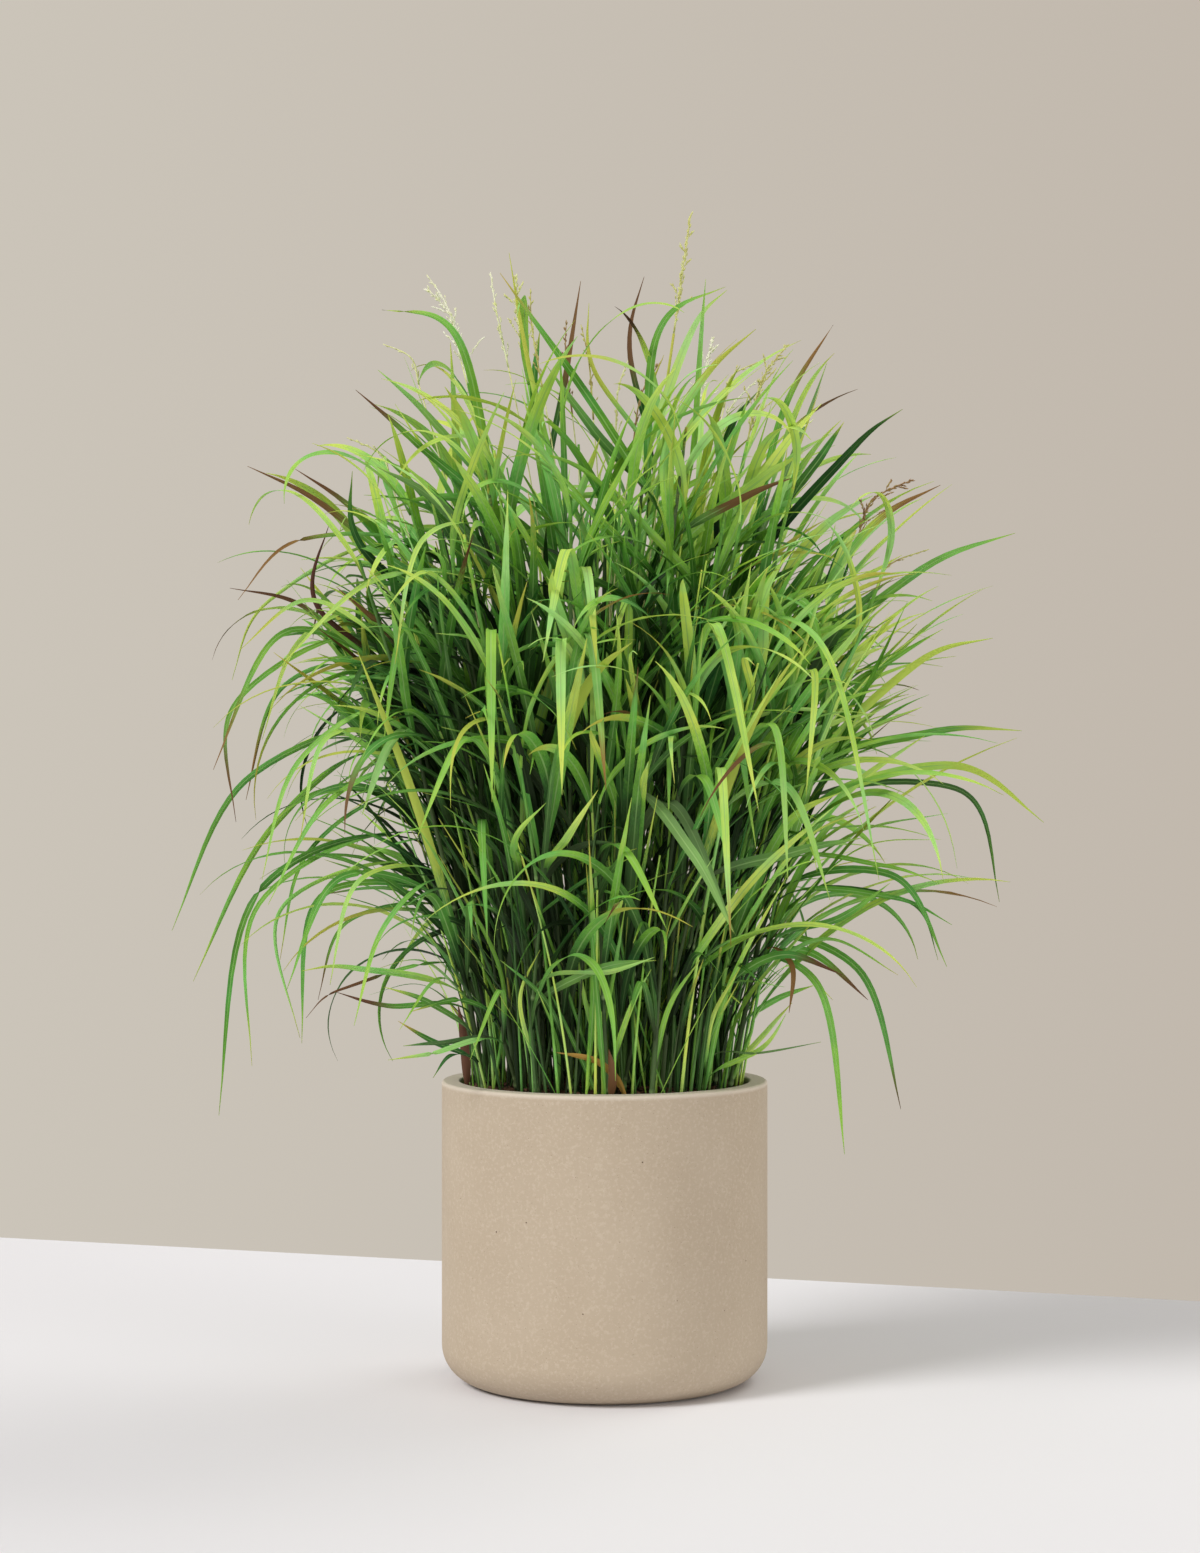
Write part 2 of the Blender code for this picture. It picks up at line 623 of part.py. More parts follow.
def branch_mesh(root, along, length):
    """A branch of a flower head: a three-sided stalk that swells to a spikelet, pointed at both ends."""
    frame = along.to_track_quat("Z", "Y").to_matrix()
    corners, faces = [root.copy()], []
    for share, radius in ((0.5, BRANCH_RADIUS), (SPIKELET_SHARE, SPIKELET_RADIUS)):
        for k in range(3):
            turn = k * math.tau / 3
            corner = Vector((radius * math.cos(turn), radius * math.sin(turn), share * length))
            corners.append(root + frame @ corner)
    corners.append(root + along * length)
    for k in range(3):
        a, b = k, (k + 1) % 3
        faces.append((0, 1 + b, 1 + a))
        faces.append((1 + a, 1 + b, 4 + b))
        faces.append((1 + a, 4 + b, 4 + a))
        faces.append((4 + a, 4 + b, 7))
    return mesh_of(corners, faces)


# Objects

def material(name):
    made = bpy.data.materials.get(name)
    if made is None:
        made = bpy.data.materials.new(name)
        made.use_nodes = True
        colour, roughness = COLOURS[name]
        shader = made.node_tree.nodes["Principled BSDF"]
        shader.inputs["Base Color"].default_value = (*colour, 1)
        shader.inputs["Roughness"].default_value = roughness
        shader.inputs["Metallic"].default_value = 0
        made.diffuse_color = (*colour, 1)
    return made


def new_object(name, mesh, colour, parts):
    made = bpy.data.objects.new(name, mesh)
    mesh.materials.append(material(colour))
    parts.objects.link(made)
    return made


def fuse(piece, meshes):
    """Joins the meshes to the piece with one Boolean union on a collection.

    The manifold solver is used because the exact one leaves open edges where a blade grazes its stem.
    """
    if not meshes:
        return
    joined = bpy.data.collections.new("to_join")
    bpy.context.scene.collection.children.link(joined)
    for mesh in meshes:
        joined.objects.link(bpy.data.objects.new("repeat", mesh))
    union = piece.modifiers.new("union", "BOOLEAN")
    union.operation = "UNION"
    union.operand_type = "COLLECTION"
    union.collection = joined
    union.solver = "MANIFOLD"
    graph = bpy.context.evaluated_depsgraph_get()
    made = bpy.data.meshes.new_from_object(piece.evaluated_get(graph))
    piece.modifiers.clear()
    piece.data = made
    for repeat in list(joined.objects):
        bpy.data.objects.remove(repeat)
    bpy.data.collections.remove(joined)


def turned(name, profile, colour, parts):
    """A profile of (radius, height) points, top to bottom on the outer side, turned round the Z axis."""
    mesh = bpy.data.meshes.new(name)
    mesh.from_pydata([(r, 0, z) for r, z in profile], [(i, i + 1) for i in range(len(profile) - 1)], [])
    made = new_object(name, mesh, colour, parts)
    screw = made.modifiers.new("turn", "SCREW")
    screw.steps = TURN_STEPS
    screw.render_steps = TURN_STEPS
    screw.use_merge_vertices = True
    screw.merge_threshold = 0.0001
    screw.use_normal_calculate = True
    return made


def corner(centre_r, centre_z, radius, start, end, steps):
    """Points of a profile's round corner, between two angles in degrees."""
    angles = [math.radians(start + (end - start) * k / steps) for k in range(steps + 1)]
    return [(centre_r + radius * math.cos(a), centre_z + radius * math.sin(a)) for a in angles]


def make_pot(parts):
    inner = POT_RADIUS - POT_WALL
    profile = [(0, POT_FLOOR)]
    profile += corner(inner - INNER_ROUND, POT_FLOOR + INNER_ROUND, INNER_ROUND, -90, 0, 2)
    profile += corner(inner + RIM_ROUND, POT_HEIGHT - RIM_ROUND, RIM_ROUND, 180, 90, 1)
    profile += corner(POT_RADIUS - RIM_ROUND, POT_HEIGHT - RIM_ROUND, RIM_ROUND, 90, 0, 1)
    profile += corner(POT_RADIUS - FOOT_ROUND, FOOT_ROUND, FOOT_ROUND, 0, -90, FOOT_ROUND_STEPS)
    turned("pot", profile + [(0, 0)], "pot_stone", parts)


def cut_hole(foot, tangent, radius, depth, cutters):
    """The cutter of a plain straight hole, a little wider and deeper than the foot that stands in it."""
    wide = (radius + SEAT_GAP) / math.cos(math.pi / HOLE_SIDES)
    length = depth + SEAT_GAP + HOLE_MARGIN
    shape = bmesh.new()
    bmesh.ops.create_cone(
        shape, cap_ends=True, segments=HOLE_SIDES, radius1=wide, radius2=wide, depth=length
    )
    mesh = bpy.data.meshes.new("hole")
    shape.to_mesh(mesh)
    shape.free()
    made = bpy.data.objects.new("hole", mesh)
    cutters.objects.link(made)
    made.location = foot + tangent * (HOLE_MARGIN - length / 2)
    made.rotation_mode = "QUATERNION"
    made.rotation_quaternion = tangent.to_track_quat("Z", "Y")
    made.hide_render = True
    made.display_type = "WIRE"


def make_soil(parts, cutters):
    floor = POT_FLOOR + SEAT_GAP
    profile = [(radius, on_soil(radius, 0).z) for radius in (0, SOIL_RADIUS / 2, SOIL_RADIUS)]
    profile += corner(SOIL_RADIUS - INNER_ROUND, floor + INNER_ROUND, INNER_ROUND, 0, -90, 2)
    soil = turned("soil", profile + [(0, floor)], "potting_soil", parts)
    cut = soil.modifiers.new("holes", "BOOLEAN")
    cut.operation = "DIFFERENCE"
    cut.operand_type = "COLLECTION"
    cut.collection = cutters
    cut.solver = "EXACT"


def make_head(stem, parts, room, draw):
    """The flower head on the tip of its stem: a thin axis with short branches all round."""
    length, lean = FLOWER_HEADS[stem.flower][3:]
    tangent = tangent_at(stem.line, STEM_POINTS)
    start = stem.line[-1] + tangent * SEAT_GAP
    tip = start + tangent * length * 0.85 + Vector((lean * 0.45, 0, -abs(lean) * 0.1)) * length
    line = bent_line(start, start + tangent * length * 0.5, tip, tangent, HEAD_POINTS)
    points = [line[i] for i in HEAD_STATIONS]
    axis = tube_mesh(points, HEAD_RADII)
    branches = []
    lowest, highest = HEAD_BRANCH_SHARES
    for k in range(HEAD_BRANCHES):
        share = lowest + (highest - lowest) * k / (HEAD_BRANCHES - 1)
        up = tangent_on(line, share)
        away = level(k * GOLDEN_ANGLE + draw.uniform(-0.3, 0.3))
        away = (away - up * away.dot(up)).normalized()
        opening = math.radians(draw.uniform(*BRANCH_OPENING))
        along = up * math.cos(opening) + away * math.sin(opening)
        reach = (1.15 - share) * length * BRANCH_LENGTH
        branches.append(branch_mesh(point_on(points, share), along, reach))
    for mesh in [axis] + branches:
        room.add(*shell_of(mesh), stem)
    head = new_object(f"flower_head_{stem.flower + 1}", axis, "pale_straw", parts)
    fuse(head, branches)


def make_dead_leaf(name, foot, bend, tip, width, roll, parts, cutters, room):
    """A dead leaf that stands in its own hole, on a narrow root."""
    start, bend, tip = on_soil(*foot), Vector(bend), Vector(tip)
    line = bent_line(start, bend, tip, (bend - start).normalized() + UP, BLADE_POINTS)
    rise = tangent_at(line, 0)
    away = (tip - start).xy.normalized()
    leaf = blade_on(line, Vector((-away.y, away.x, 0)), math.radians(roll), math.radians(roll), width)
    leaf.line = [start - rise * DEAD_LEAF_DEPTH] + line
    leaf.sides = leaf.sides[:1] + leaf.sides
    leaf.widths = [DEAD_ROOT_WIDTH] * 2 + leaf.widths[1:]
    leaf.stations = DEAD_LEAF_STATIONS
    mesh = mesh_of(*blade_shell(leaf))
    room.add(*shell_of(mesh), leaf)
    new_object(name, mesh, "dry_orange" if name == "dry_leaf" else "dead_brown", parts)
    cut_hole(start, rise, DEAD_ROOT_WIDTH / 2, DEAD_LEAF_DEPTH, cutters)


def make_plant(parts, cutters):
    """The clump: the stems and shoots, what stands round them, and then blades where there is room."""
    draw = random.Random(SEED)
    room = Room()
    stems = make_stems(draw)
    for stem in stems:
        stem.meshes = [stem_mesh(stem, STEM_DEPTH)]
        room.add(*shell_of(stem.meshes[0]), stem)
        if stem.shoot is not None:
            stem.meshes.append(stem_mesh(stem.shoot, 0))
            room.add(*shell_of(stem.meshes[1]), stem.shoot)
        cut_hole(stem.line[0], tangent_at(stem.line, 0), STEM_RADIUS, STEM_DEPTH, cutters)
    for leaf in DEAD_LEAVES:
        make_dead_leaf(*leaf, parts, cutters, room)
    for stem in stems:
        if stem.flower is not None:
            make_head(stem, parts, room, draw)
    place_key_blades(stems, room, draw)
    place_blades(stems, room, draw)
    for number, stem in enumerate(stems):
        colour = STEM_COLOURS[number % len(STEM_COLOURS)]
        piece = new_object(f"leafy_stem_{number + 1:02d}", stem.meshes[0], colour, parts)
        blades = [mesh_of(*blade_shell(blade)) for part in leafy_parts([stem]) for blade in part.blades]
        fuse(piece, stem.meshes[1:] + blades)


def main():
    for old in list(bpy.data.objects):
        bpy.data.objects.remove(old)
    parts = bpy.data.collections.new("switchgrass")
    cutters = bpy.data.collections.new("cutters")
    for collection in (parts, cutters):
        bpy.context.scene.collection.children.link(collection)
    cutters.hide_render = True
    make_pot(parts)
    make_plant(parts, cutters)
    make_soil(parts, cutters)


main()
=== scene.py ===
"""The looks of the switchgrass and its pot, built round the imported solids.

Metres, +Z up, in the frame of the solids. The stems, shoots, flower heads and blades are drawn again
by the same rules, numbers and order of random draws as the solids, so each fine piece lies where its
node lies. Each is then given what the solids leave out: smooth blades with a fold and a midrib,
sheaths and nodes on the stems, and spikelets. Thin stems and more blades fill the clump between
them. The pot and the soil get fine shapes of their own, with chips of bark on the soil, and the floor
and the light are plain.
"""

import json
import math
import random
from types import SimpleNamespace

import bmesh
import bpy
import numpy as np
from mathutils import Matrix, Vector, noise
from mathutils.bvhtree import BVHTree

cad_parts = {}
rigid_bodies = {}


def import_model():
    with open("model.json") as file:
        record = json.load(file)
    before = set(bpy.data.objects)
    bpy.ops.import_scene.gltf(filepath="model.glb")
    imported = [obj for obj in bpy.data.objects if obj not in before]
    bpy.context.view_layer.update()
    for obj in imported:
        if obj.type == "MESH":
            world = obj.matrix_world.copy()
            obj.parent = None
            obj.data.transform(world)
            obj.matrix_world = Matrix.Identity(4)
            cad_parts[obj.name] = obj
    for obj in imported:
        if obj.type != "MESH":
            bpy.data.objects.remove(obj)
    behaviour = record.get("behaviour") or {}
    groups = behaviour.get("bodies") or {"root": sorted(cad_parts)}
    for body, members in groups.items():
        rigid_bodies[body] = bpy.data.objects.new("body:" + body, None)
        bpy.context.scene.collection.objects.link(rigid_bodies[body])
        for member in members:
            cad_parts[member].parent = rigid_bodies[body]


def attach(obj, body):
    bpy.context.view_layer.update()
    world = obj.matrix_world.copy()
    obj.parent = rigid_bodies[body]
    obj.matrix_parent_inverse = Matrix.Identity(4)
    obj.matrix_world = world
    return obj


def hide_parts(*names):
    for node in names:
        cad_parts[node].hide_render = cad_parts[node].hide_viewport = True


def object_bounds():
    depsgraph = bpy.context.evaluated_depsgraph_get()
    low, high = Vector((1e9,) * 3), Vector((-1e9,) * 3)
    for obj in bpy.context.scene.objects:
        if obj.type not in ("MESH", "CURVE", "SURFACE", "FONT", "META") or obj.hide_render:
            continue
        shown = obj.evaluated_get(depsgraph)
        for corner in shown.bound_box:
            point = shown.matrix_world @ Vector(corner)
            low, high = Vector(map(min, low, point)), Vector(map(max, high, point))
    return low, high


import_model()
CAD_BOX = [list(corner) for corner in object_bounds()]

# Pot and soil, in metres
POT_RADIUS = 0.175
POT_HEIGHT = 0.322
POT_WALL = 0.020
POT_FLOOR = 0.024
FOOT_ROUND = 0.040
RIM_ROUND = 0.003
INNER_ROUND = 0.020
SEAT_GAP = 0.0003
SOIL_DROP = 0.009
SOIL_DOME = 0.008
STEM_DEPTH = 0.028

# The clump: stems stand on a spiral over the soil, and the outer ones lean out and end lower
STEM_COUNT = 48
STEM_RING = 0.142
STEM_TOP = 1.035
STEM_TOP_DROP = 0.19
STEM_TOP_JITTER = (-0.050, 0.035)
STEM_MIDDLE = 0.020
STEM_SPREAD = 0.275
STEM_SPREAD_JITTER = 0.020
STEM_FOOT_JITTER = 0.004
STEM_TURN_JITTER = 0.16
STEM_BEND = math.radians(16)
STEM_BEND_RANGE = (0.6, 1.2)
STEM_POINTS = 20
STEM_STATIONS = (0, 7, 14, 20)
STEM_RADIUS = 0.0023
STEM_TIP_RADIUS = 0.0014
STEM_SPACING = 0.0085
SPACING_SAMPLES = 80
GOLDEN_ANGLE = math.pi * (3 - math.sqrt(5))

# How strongly a bent line is drawn along its middle and towards its tip
MIDDLE_PULL = 0.5
TIP_PULL = 1.2
TIP_TURN = 0.2

# Side shoots, at the feet of the outer stems
SHOOT_FROM_REACH = 0.6
SHOOT_RADIUS = 0.0017
SHOOT_STATIONS = (0, 3, 11, 20)
SHOOT_OFFSET = 0.016
SHOOT_START = 0.015
SHOOT_JOINED_POINTS = 3
SHOOT_HEIGHT_RANGE = (0.55, 0.85)
SHOOT_SIDE_TURN = 1.9
SHOOT_TIP_TURN = 0.3

# Blades, with angles in degrees
BLADE_POINTS = 24
BLADE_KEEL = 0.0012
BLADE_CLEARANCE = 0.0006
# A blade's width along it: how wide its collar is, how fast it widens, and where and how it tapers
COLLAR_WIDTH = 0.28
COLLAR_GROWTH = 3
TAPER_START = 0.35
TAPER_POWER = 1.8
BLADE_TURN_PER_STATION = math.radians(40)
BLADE_LENGTH = (0.23, 0.43)
# A blade's length goes by the share of its stem at its root
LEAST_LENGTH = 0.62
MIDDLE_LENGTH = 0.5
MIDDLE_SHIFT = 0.2
MIDDLE_END = 0.95
BLADE_WIDTH = (0.0075, 0.0130)
BLADE_OPENING = (9, 26)
BLADE_SIDE_TURN = 1.7
BLADE_MIDDLE_TURN = 1.6
BLADE_DROOP = (12, 70)
BLADE_DROOP_POWER = (0.9, 2.0)
LOW_DROOP = 38
LEFT_DROOP = 25
FOLDED_DROOP = 62
FOLDED_SHARE = 0.14
BLADE_DRIFT = 0.35
BLADE_SWING = 0.8
BLADE_SWING_SPEED = 2.5
BLADE_ROLL = 40
LOWEST_BLADE = 0.085
BLADE_SPACING = 0.150
BLADE_SHARE_JITTER = 0.03
TOP_BLADE_SHARE = 0.985
RIM_CLEARANCE = 0.005
TRIES = 30
KEY_TRIES = 60
KEY_LOOSENING = 0.0012
KEY_SPOTS = 20
KEY_FIRST_SPOT = 4
KEY_PULL = 0.8

# The crown's outline: an oval seen from above, domed over its middle height
CROWN_X = 0.460
CROWN_Y = 0.425
CROWN_Z = 0.600
CROWN_MIDDLE = 0.620

# Flower heads: where each one's stem ends (x, y, z), the head's length, and its lean to the right
FLOWER_HEADS = (
    (0.074, -0.020, 1.122, 0.150, 0.00),
    (-0.145, -0.050, 1.065, 0.125, -0.35),
    (-0.085, 0.020, 1.090, 0.120, 0.10),
    (0.100, 0.060, 1.030, 0.120, 0.05),
    (0.150, -0.080, 1.000, 0.125, 0.30),
    (0.270, -0.020, 0.900, 0.090, 0.80),
)
HEAD_FOOT_SHARE = 0.42
HEAD_FOOT_REACH = 0.024
HEAD_POINTS = 12
HEAD_RISE = 0.85
HEAD_LEAN = 0.45
HEAD_SAG = 0.1
HEAD_STATIONS = (0, 4, 8, 12)
HEAD_RADII = (0.0011, 0.0009, 0.0008, 0.0005)
HEAD_BRANCHES = 7
HEAD_BRANCH_SHARES = (0.18, 0.92)
HEAD_BRANCH_TURN = 0.3
HEAD_BRANCH_END = 1.15
BRANCH_LENGTH = 0.33
BRANCH_OPENING = (22, 42)
BRANCH_RADIUS = 0.0005
SPIKELET_RADIUS = 0.0011
SPIKELET_SHARE = 0.86

# Blades whose places show most, as (x, y, z): near which point of a stem each starts, where it
# bends and where it ends, and its width
KEY_BLADES = (
    ((-0.010, -0.02, 0.930), (0.062, -0.03, 1.112), (0.130, -0.04, 1.174), 0.0095),
    ((0.000, 0.02, 0.960), (0.027, 0.02, 1.110), (0.043, 0.03, 1.191), 0.0065),
    ((-0.048, 0.03, 0.940), (-0.041, 0.03, 1.090), (-0.026, 0.04, 1.188), 0.0070),
    ((-0.060, -0.04, 0.930), (-0.158, -0.06, 1.105), (-0.233, -0.08, 1.136), 0.0100),
    ((-0.040, -0.06, 0.900), (-0.080, -0.09, 1.080), (-0.100, -0.10, 1.195), 0.0060),
    ((-0.130, -0.06, 0.880), (-0.200, -0.08, 1.000), (-0.261, -0.09, 1.053), 0.0080),
    ((-0.190, -0.02, 0.820), (-0.290, -0.03, 0.930), (-0.380, -0.04, 0.978), 0.0080),
    ((-0.180, 0.04, 0.800), (-0.265, 0.05, 0.930), (-0.339, 0.06, 0.985), 0.0080),
    ((-0.230, -0.04, 0.740), (-0.305, -0.06, 0.830), (-0.290, -0.07, 0.915), 0.0060),
    ((-0.220, 0.02, 0.740), (-0.320, 0.02, 0.828), (-0.406, 0.02, 0.852), 0.0060),
    ((-0.210, -0.08, 0.780), (-0.255, -0.11, 0.890), (-0.262, -0.12, 0.965), 0.0095),
    ((-0.200, 0.00, 0.680), (-0.378, -0.01, 0.650), (-0.463, -0.02, 0.483), 0.0070),
    ((-0.210, 0.05, 0.660), (-0.362, 0.06, 0.595), (-0.452, 0.07, 0.423), 0.0070),
    ((-0.190, -0.06, 0.570), (-0.360, -0.09, 0.530), (-0.403, -0.10, 0.294), 0.0075),
    ((-0.180, 0.02, 0.500), (-0.305, 0.02, 0.520), (-0.328, 0.02, 0.359), 0.0070),
    ((-0.190, -0.05, 0.740), (-0.335, -0.08, 0.800), (-0.409, -0.10, 0.655), 0.0070),
    ((-0.170, -0.09, 0.500), (-0.270, -0.14, 0.545), (-0.325, -0.17, 0.430), 0.0080),
    ((0.080, -0.04, 0.860), (0.125, -0.06, 1.000), (0.164, -0.07, 1.057), 0.0115),
    ((0.140, -0.02, 0.880), (0.198, -0.02, 1.030), (0.246, -0.03, 1.134), 0.0080),
    ((0.150, 0.03, 0.870), (0.210, 0.04, 1.010), (0.243, 0.05, 1.100), 0.0070),
    ((0.180, -0.05, 0.850), (0.258, -0.07, 0.990), (0.313, -0.08, 1.034), 0.0105),
    ((0.190, -0.03, 0.780), (0.280, -0.04, 0.910), (0.356, -0.05, 0.957), 0.0100),
    ((0.220, 0.00, 0.760), (0.340, 0.00, 0.870), (0.442, 0.00, 0.910), 0.0095),
    ((0.200, -0.06, 0.660), (0.325, -0.09, 0.765), (0.404, -0.11, 0.792), 0.0095),
    ((0.200, 0.03, 0.600), (0.350, 0.04, 0.695), (0.456, 0.05, 0.698), 0.0100),
    ((0.210, -0.02, 0.600), (0.365, -0.03, 0.660), (0.467, -0.04, 0.599), 0.0100),
    ((0.220, 0.05, 0.590), (0.385, 0.06, 0.635), (0.434, 0.07, 0.510), 0.0070),
    ((0.180, -0.06, 0.520), (0.300, -0.09, 0.545), (0.356, -0.11, 0.450), 0.0080),
    ((0.145, -0.07, 0.440), (0.222, -0.11, 0.430), (0.248, -0.13, 0.257), 0.0080),
    ((0.150, -0.02, 0.450), (0.268, -0.03, 0.445), (0.315, -0.04, 0.294), 0.0080),
    ((-0.010, -0.11, 0.700), (-0.036, -0.17, 0.872), (-0.055, -0.20, 0.720), 0.0110),
    ((-0.060, -0.10, 0.620), (-0.018, -0.18, 0.785), (-0.014, -0.21, 0.625), 0.0110),
    ((-0.090, -0.10, 0.640), (-0.116, -0.17, 0.785), (-0.111, -0.21, 0.630), 0.0100),
    ((0.070, -0.11, 0.640), (0.110, -0.18, 0.795), (0.152, -0.22, 0.575), 0.0110),
    ((0.050, -0.11, 0.610), (0.066, -0.18, 0.770), (0.064, -0.21, 0.600), 0.0110),
    ((-0.100, -0.11, 0.480), (-0.125, -0.19, 0.605), (-0.118, -0.22, 0.480), 0.0090),
    ((0.030, -0.12, 0.560), (0.070, -0.18, 0.620), (0.130, -0.22, 0.490), 0.0120),
    ((-0.080, -0.12, 0.400), (-0.010, -0.17, 0.450), (0.052, -0.20, 0.462), 0.0095),
    ((0.140, -0.09, 0.700), (0.200, -0.13, 0.830), (0.235, -0.16, 0.720), 0.0090),
    ((-0.140, -0.09, 0.660), (-0.200, -0.15, 0.800), (-0.225, -0.19, 0.680), 0.0090),
)
KEY_ROLL = 30
KEY_ROLL_LEFT = 0.3

# Dead leaves: the foot on the soil, the bend, the tip, the width and the roll in degrees
DEAD_LEAVES = (
    ("withered_sheath", (-0.147, -0.030), (-0.150, -0.036, 0.365), (-0.156, -0.045, 0.407), 0.0110, 10),
    ("dry_leaf", (0.022, -0.136), (-0.004, -0.143, 0.352), (-0.050, -0.147, 0.364), 0.0095, 50),
    ("dry_sheath", (0.006, -0.141), (0.008, -0.146, 0.340), (0.004, -0.150, 0.368), 0.0090, 10),
)
DEAD_LEAF_DEPTH = 0.014
DEAD_ROOT_WIDTH = 0.0024
DEAD_LEAF_STATIONS = (0, 1, 5, 11, 16, 20, 25)

# Looks of the key blades, in their order: tone from deep green 0 to bright yellow 1, paleness, the
# share of the length that is a dry tip, and the tip's colour from yellow 0 to maroon 1
KEY_LOOKS = (
    (0.52, 0.05, 0.08, 0.0), (0.22, 0.00, 0.50, 0.8), (0.20, 0.00, 0.50, 0.7), (0.60, 0.05, 0.12, 0.0),
    (0.82, 0.15, 0.45, 0.1), (0.50, 0.00, 0.25, 0.8), (0.60, 0.00, 0.45, 0.7), (0.45, 0.00, 0.30, 0.8),
    (0.30, 0.00, 0.75, 1.0), (0.62, 0.00, 0.45, 0.9), (0.18, 0.00, 0.00, 0.0), (0.50, 0.05, 0.05, 0.0),
    (0.62, 0.05, 0.10, 0.0), (0.40, 0.00, 0.00, 0.0), (0.50, 0.00, 0.05, 0.0), (0.55, 0.05, 0.20, 0.6),
    (0.50, 0.00, 0.00, 0.0), (0.15, 0.00, 0.00, 0.0), (0.65, 0.00, 0.28, 0.6), (0.30, 0.35, 0.00, 0.0),
    (0.12, 0.00, 0.00, 0.0), (0.86, 0.05, 0.30, 0.6), (0.58, 0.15, 0.00, 0.0), (1.00, 0.00, 0.65, 0.0),
    (0.52, 0.05, 0.20, 0.0), (0.92, 0.05, 0.40, 0.0), (0.25, 0.10, 0.00, 0.0), (0.50, 0.05, 0.00, 0.0),
    (0.66, 0.10, 0.00, 0.0), (0.50, 0.05, 0.12, 0.9), (0.84, 0.10, 0.00, 0.0), (0.90, 0.10, 0.00, 0.0),
    (0.74, 0.08, 0.00, 0.0), (0.60, 0.20, 0.00, 0.0), (0.62, 0.10, 0.00, 0.0), (0.56, 0.05, 0.00, 0.0),
    (0.25, 0.40, 0.00, 0.0), (0.50, 0.25, 0.05, 0.0), (0.62, 0.05, 0.00, 0.0), (0.58, 0.05, 0.00, 0.0),
)
# Looks of the dead leaves: withered sheath, dry leaf, dry sheath
DEAD_LOOKS = ((0.3, 0.0, 1.2, 0.95), (0.9, 0.0, 1.2, 0.42), (0.3, 0.0, 1.2, 0.80))

# Fine blades
LOOK_SEED = 23
FOLD_LOSS = 0.5
THICK_SHARE = 0.5
WAVE_HALF_WIDTH = 0.003
MERGE_DISTANCE = 1e-5
SECTION_TURN = math.radians(9)
SECTIONS_PER_STEP = 0.42
ROOT_SECTIONS = 1.2
BLADE_THICKNESS = 0.00035
BLADE_RIB = 0.00035
LEAST_HALF_WIDTH = 0.00022
BLADE_FOLD = (0.06, 0.30)
COLLAR_FOLD = 1.25
COLLAR_SHARE = 0.09
EDGE_WAVE = (0.0001, 0.0005)
EDGE_WAVE_STEP = (0.035, 0.090)
PROFILE_ACROSS = np.array([1, 0.5, 0, -0.5, -1, -0.5, 0, 0.5])
PROFILE_TOP = 5

# Fine stems: a sheath runs from its node up to the blade that it carries
STEM_SIDES = 8
THIN_STEM_SIDES = 6
SHEATH_LENGTH = 0.118
NODE_LENGTH = 0.0035
STEM_SINK = 0.016
STEM_RINGS = 22
# How swollen and how pale a stem is at its foot, below, at and above a node, below and at the mouth
# of a sheath, and at its tip
AT_FOOT = (1.0, 0.25)
BELOW_NODE = (1.0, 0.1)
AT_NODE = (1.42, 0.9)
ABOVE_NODE = (1.22, 0.35)
BELOW_MOUTH = (1.22, 0.15)
AT_MOUTH = (1.05, 0.25)
AT_TIP = (1.0, 0.0)

# What fills the clump between the stems of the solids
THIN_STEMS = 250
THIN_STEM_RING = 0.147
THIN_STEM_RADIUS = (0.0011, 0.0018)
THIN_STEM_HEIGHT = (0.40, 0.98)
THIN_STEM_GAP = 0.0045
THIN_BLADE_SPACING = 0.120
MORE_BLADE_SPACING = 0.090
MORE_BLADE_WIDTH = (0.80, 1.25)
SECTORS = 8
BOX_MARGIN = 0.003
MORE_SPACING_RANGE = (0.7, 1.3)
MORE_TRIES = 6
INNER_CROWN = (1.22, 1.08)
MORE_LOWEST = 0.56
FACING = 0.85
FACING_SHARE = 0.35
FULL_SHARES = (0.0, 0.45, 0.85, 1.0)
FULL_WIDTHS = (1.0, 1.0, 1.18, 1.0)
THIN_BRIGHT = 0.34
BRIGHT_STEM = (1.35, 0.0, 0.0)
PLAIN_ACROSS = 0.55
UV_GAP = 0.06

# Looks by place: what a blade's tone gains to the right, at the top and in front as painted light,
# each as its most, where it starts and how far it goes on, and what blades with dry tips draw
LOOK_SHARE = 0.55
TONE_MIDDLE = 0.52
LIT_TONE_RIGHT = (0.30, -0.05, 0.36)
LIT_TONE_TOP = (0.36, 0.64, 0.36)
LIT_TONE_FRONT = (0.20, 0.05, 0.22)
TONE_SPREAD = 0.24
TONE_EVENNESS = (0.10, 0.8, 0.2)
OUTER_REACH = (1, 0.24, 0.14)
OUTER_HEIGHT = (1, 0.95, 0.15)
BROWN_CHANCE = 0.06
YELLOW_CHANCE = (0.05, 0.17)
DRY_CHANCE = 0.985
LITTLE_PALE = 0.05
BROWN_TIP = ((0.10, 0.40), (0.55, 1.0))
YELLOW_TIP = ((0.10, 0.45), (0.0, 0.22))
YELLOW_TONE = 0.12
DRY_BLADE = (0.98, 0.10)
DRY_TIP = ((0.2, 0.9), (0.0, 0.10))
GREEN_TIP = ((0.0, 0.15), (-0.1, 0.05), (0.0, 0.3))
STEM_TONE = 0.58
# A stem's tone gains to the right as painted light
STEM_LIT_TONE_RIGHT = (0.14, -0.1, 0.4)
STEM_TONE_SPREAD = 0.24
STEM_PALE = (-0.2, 0.0)
STEM_TIP_COLOUR = 0.2

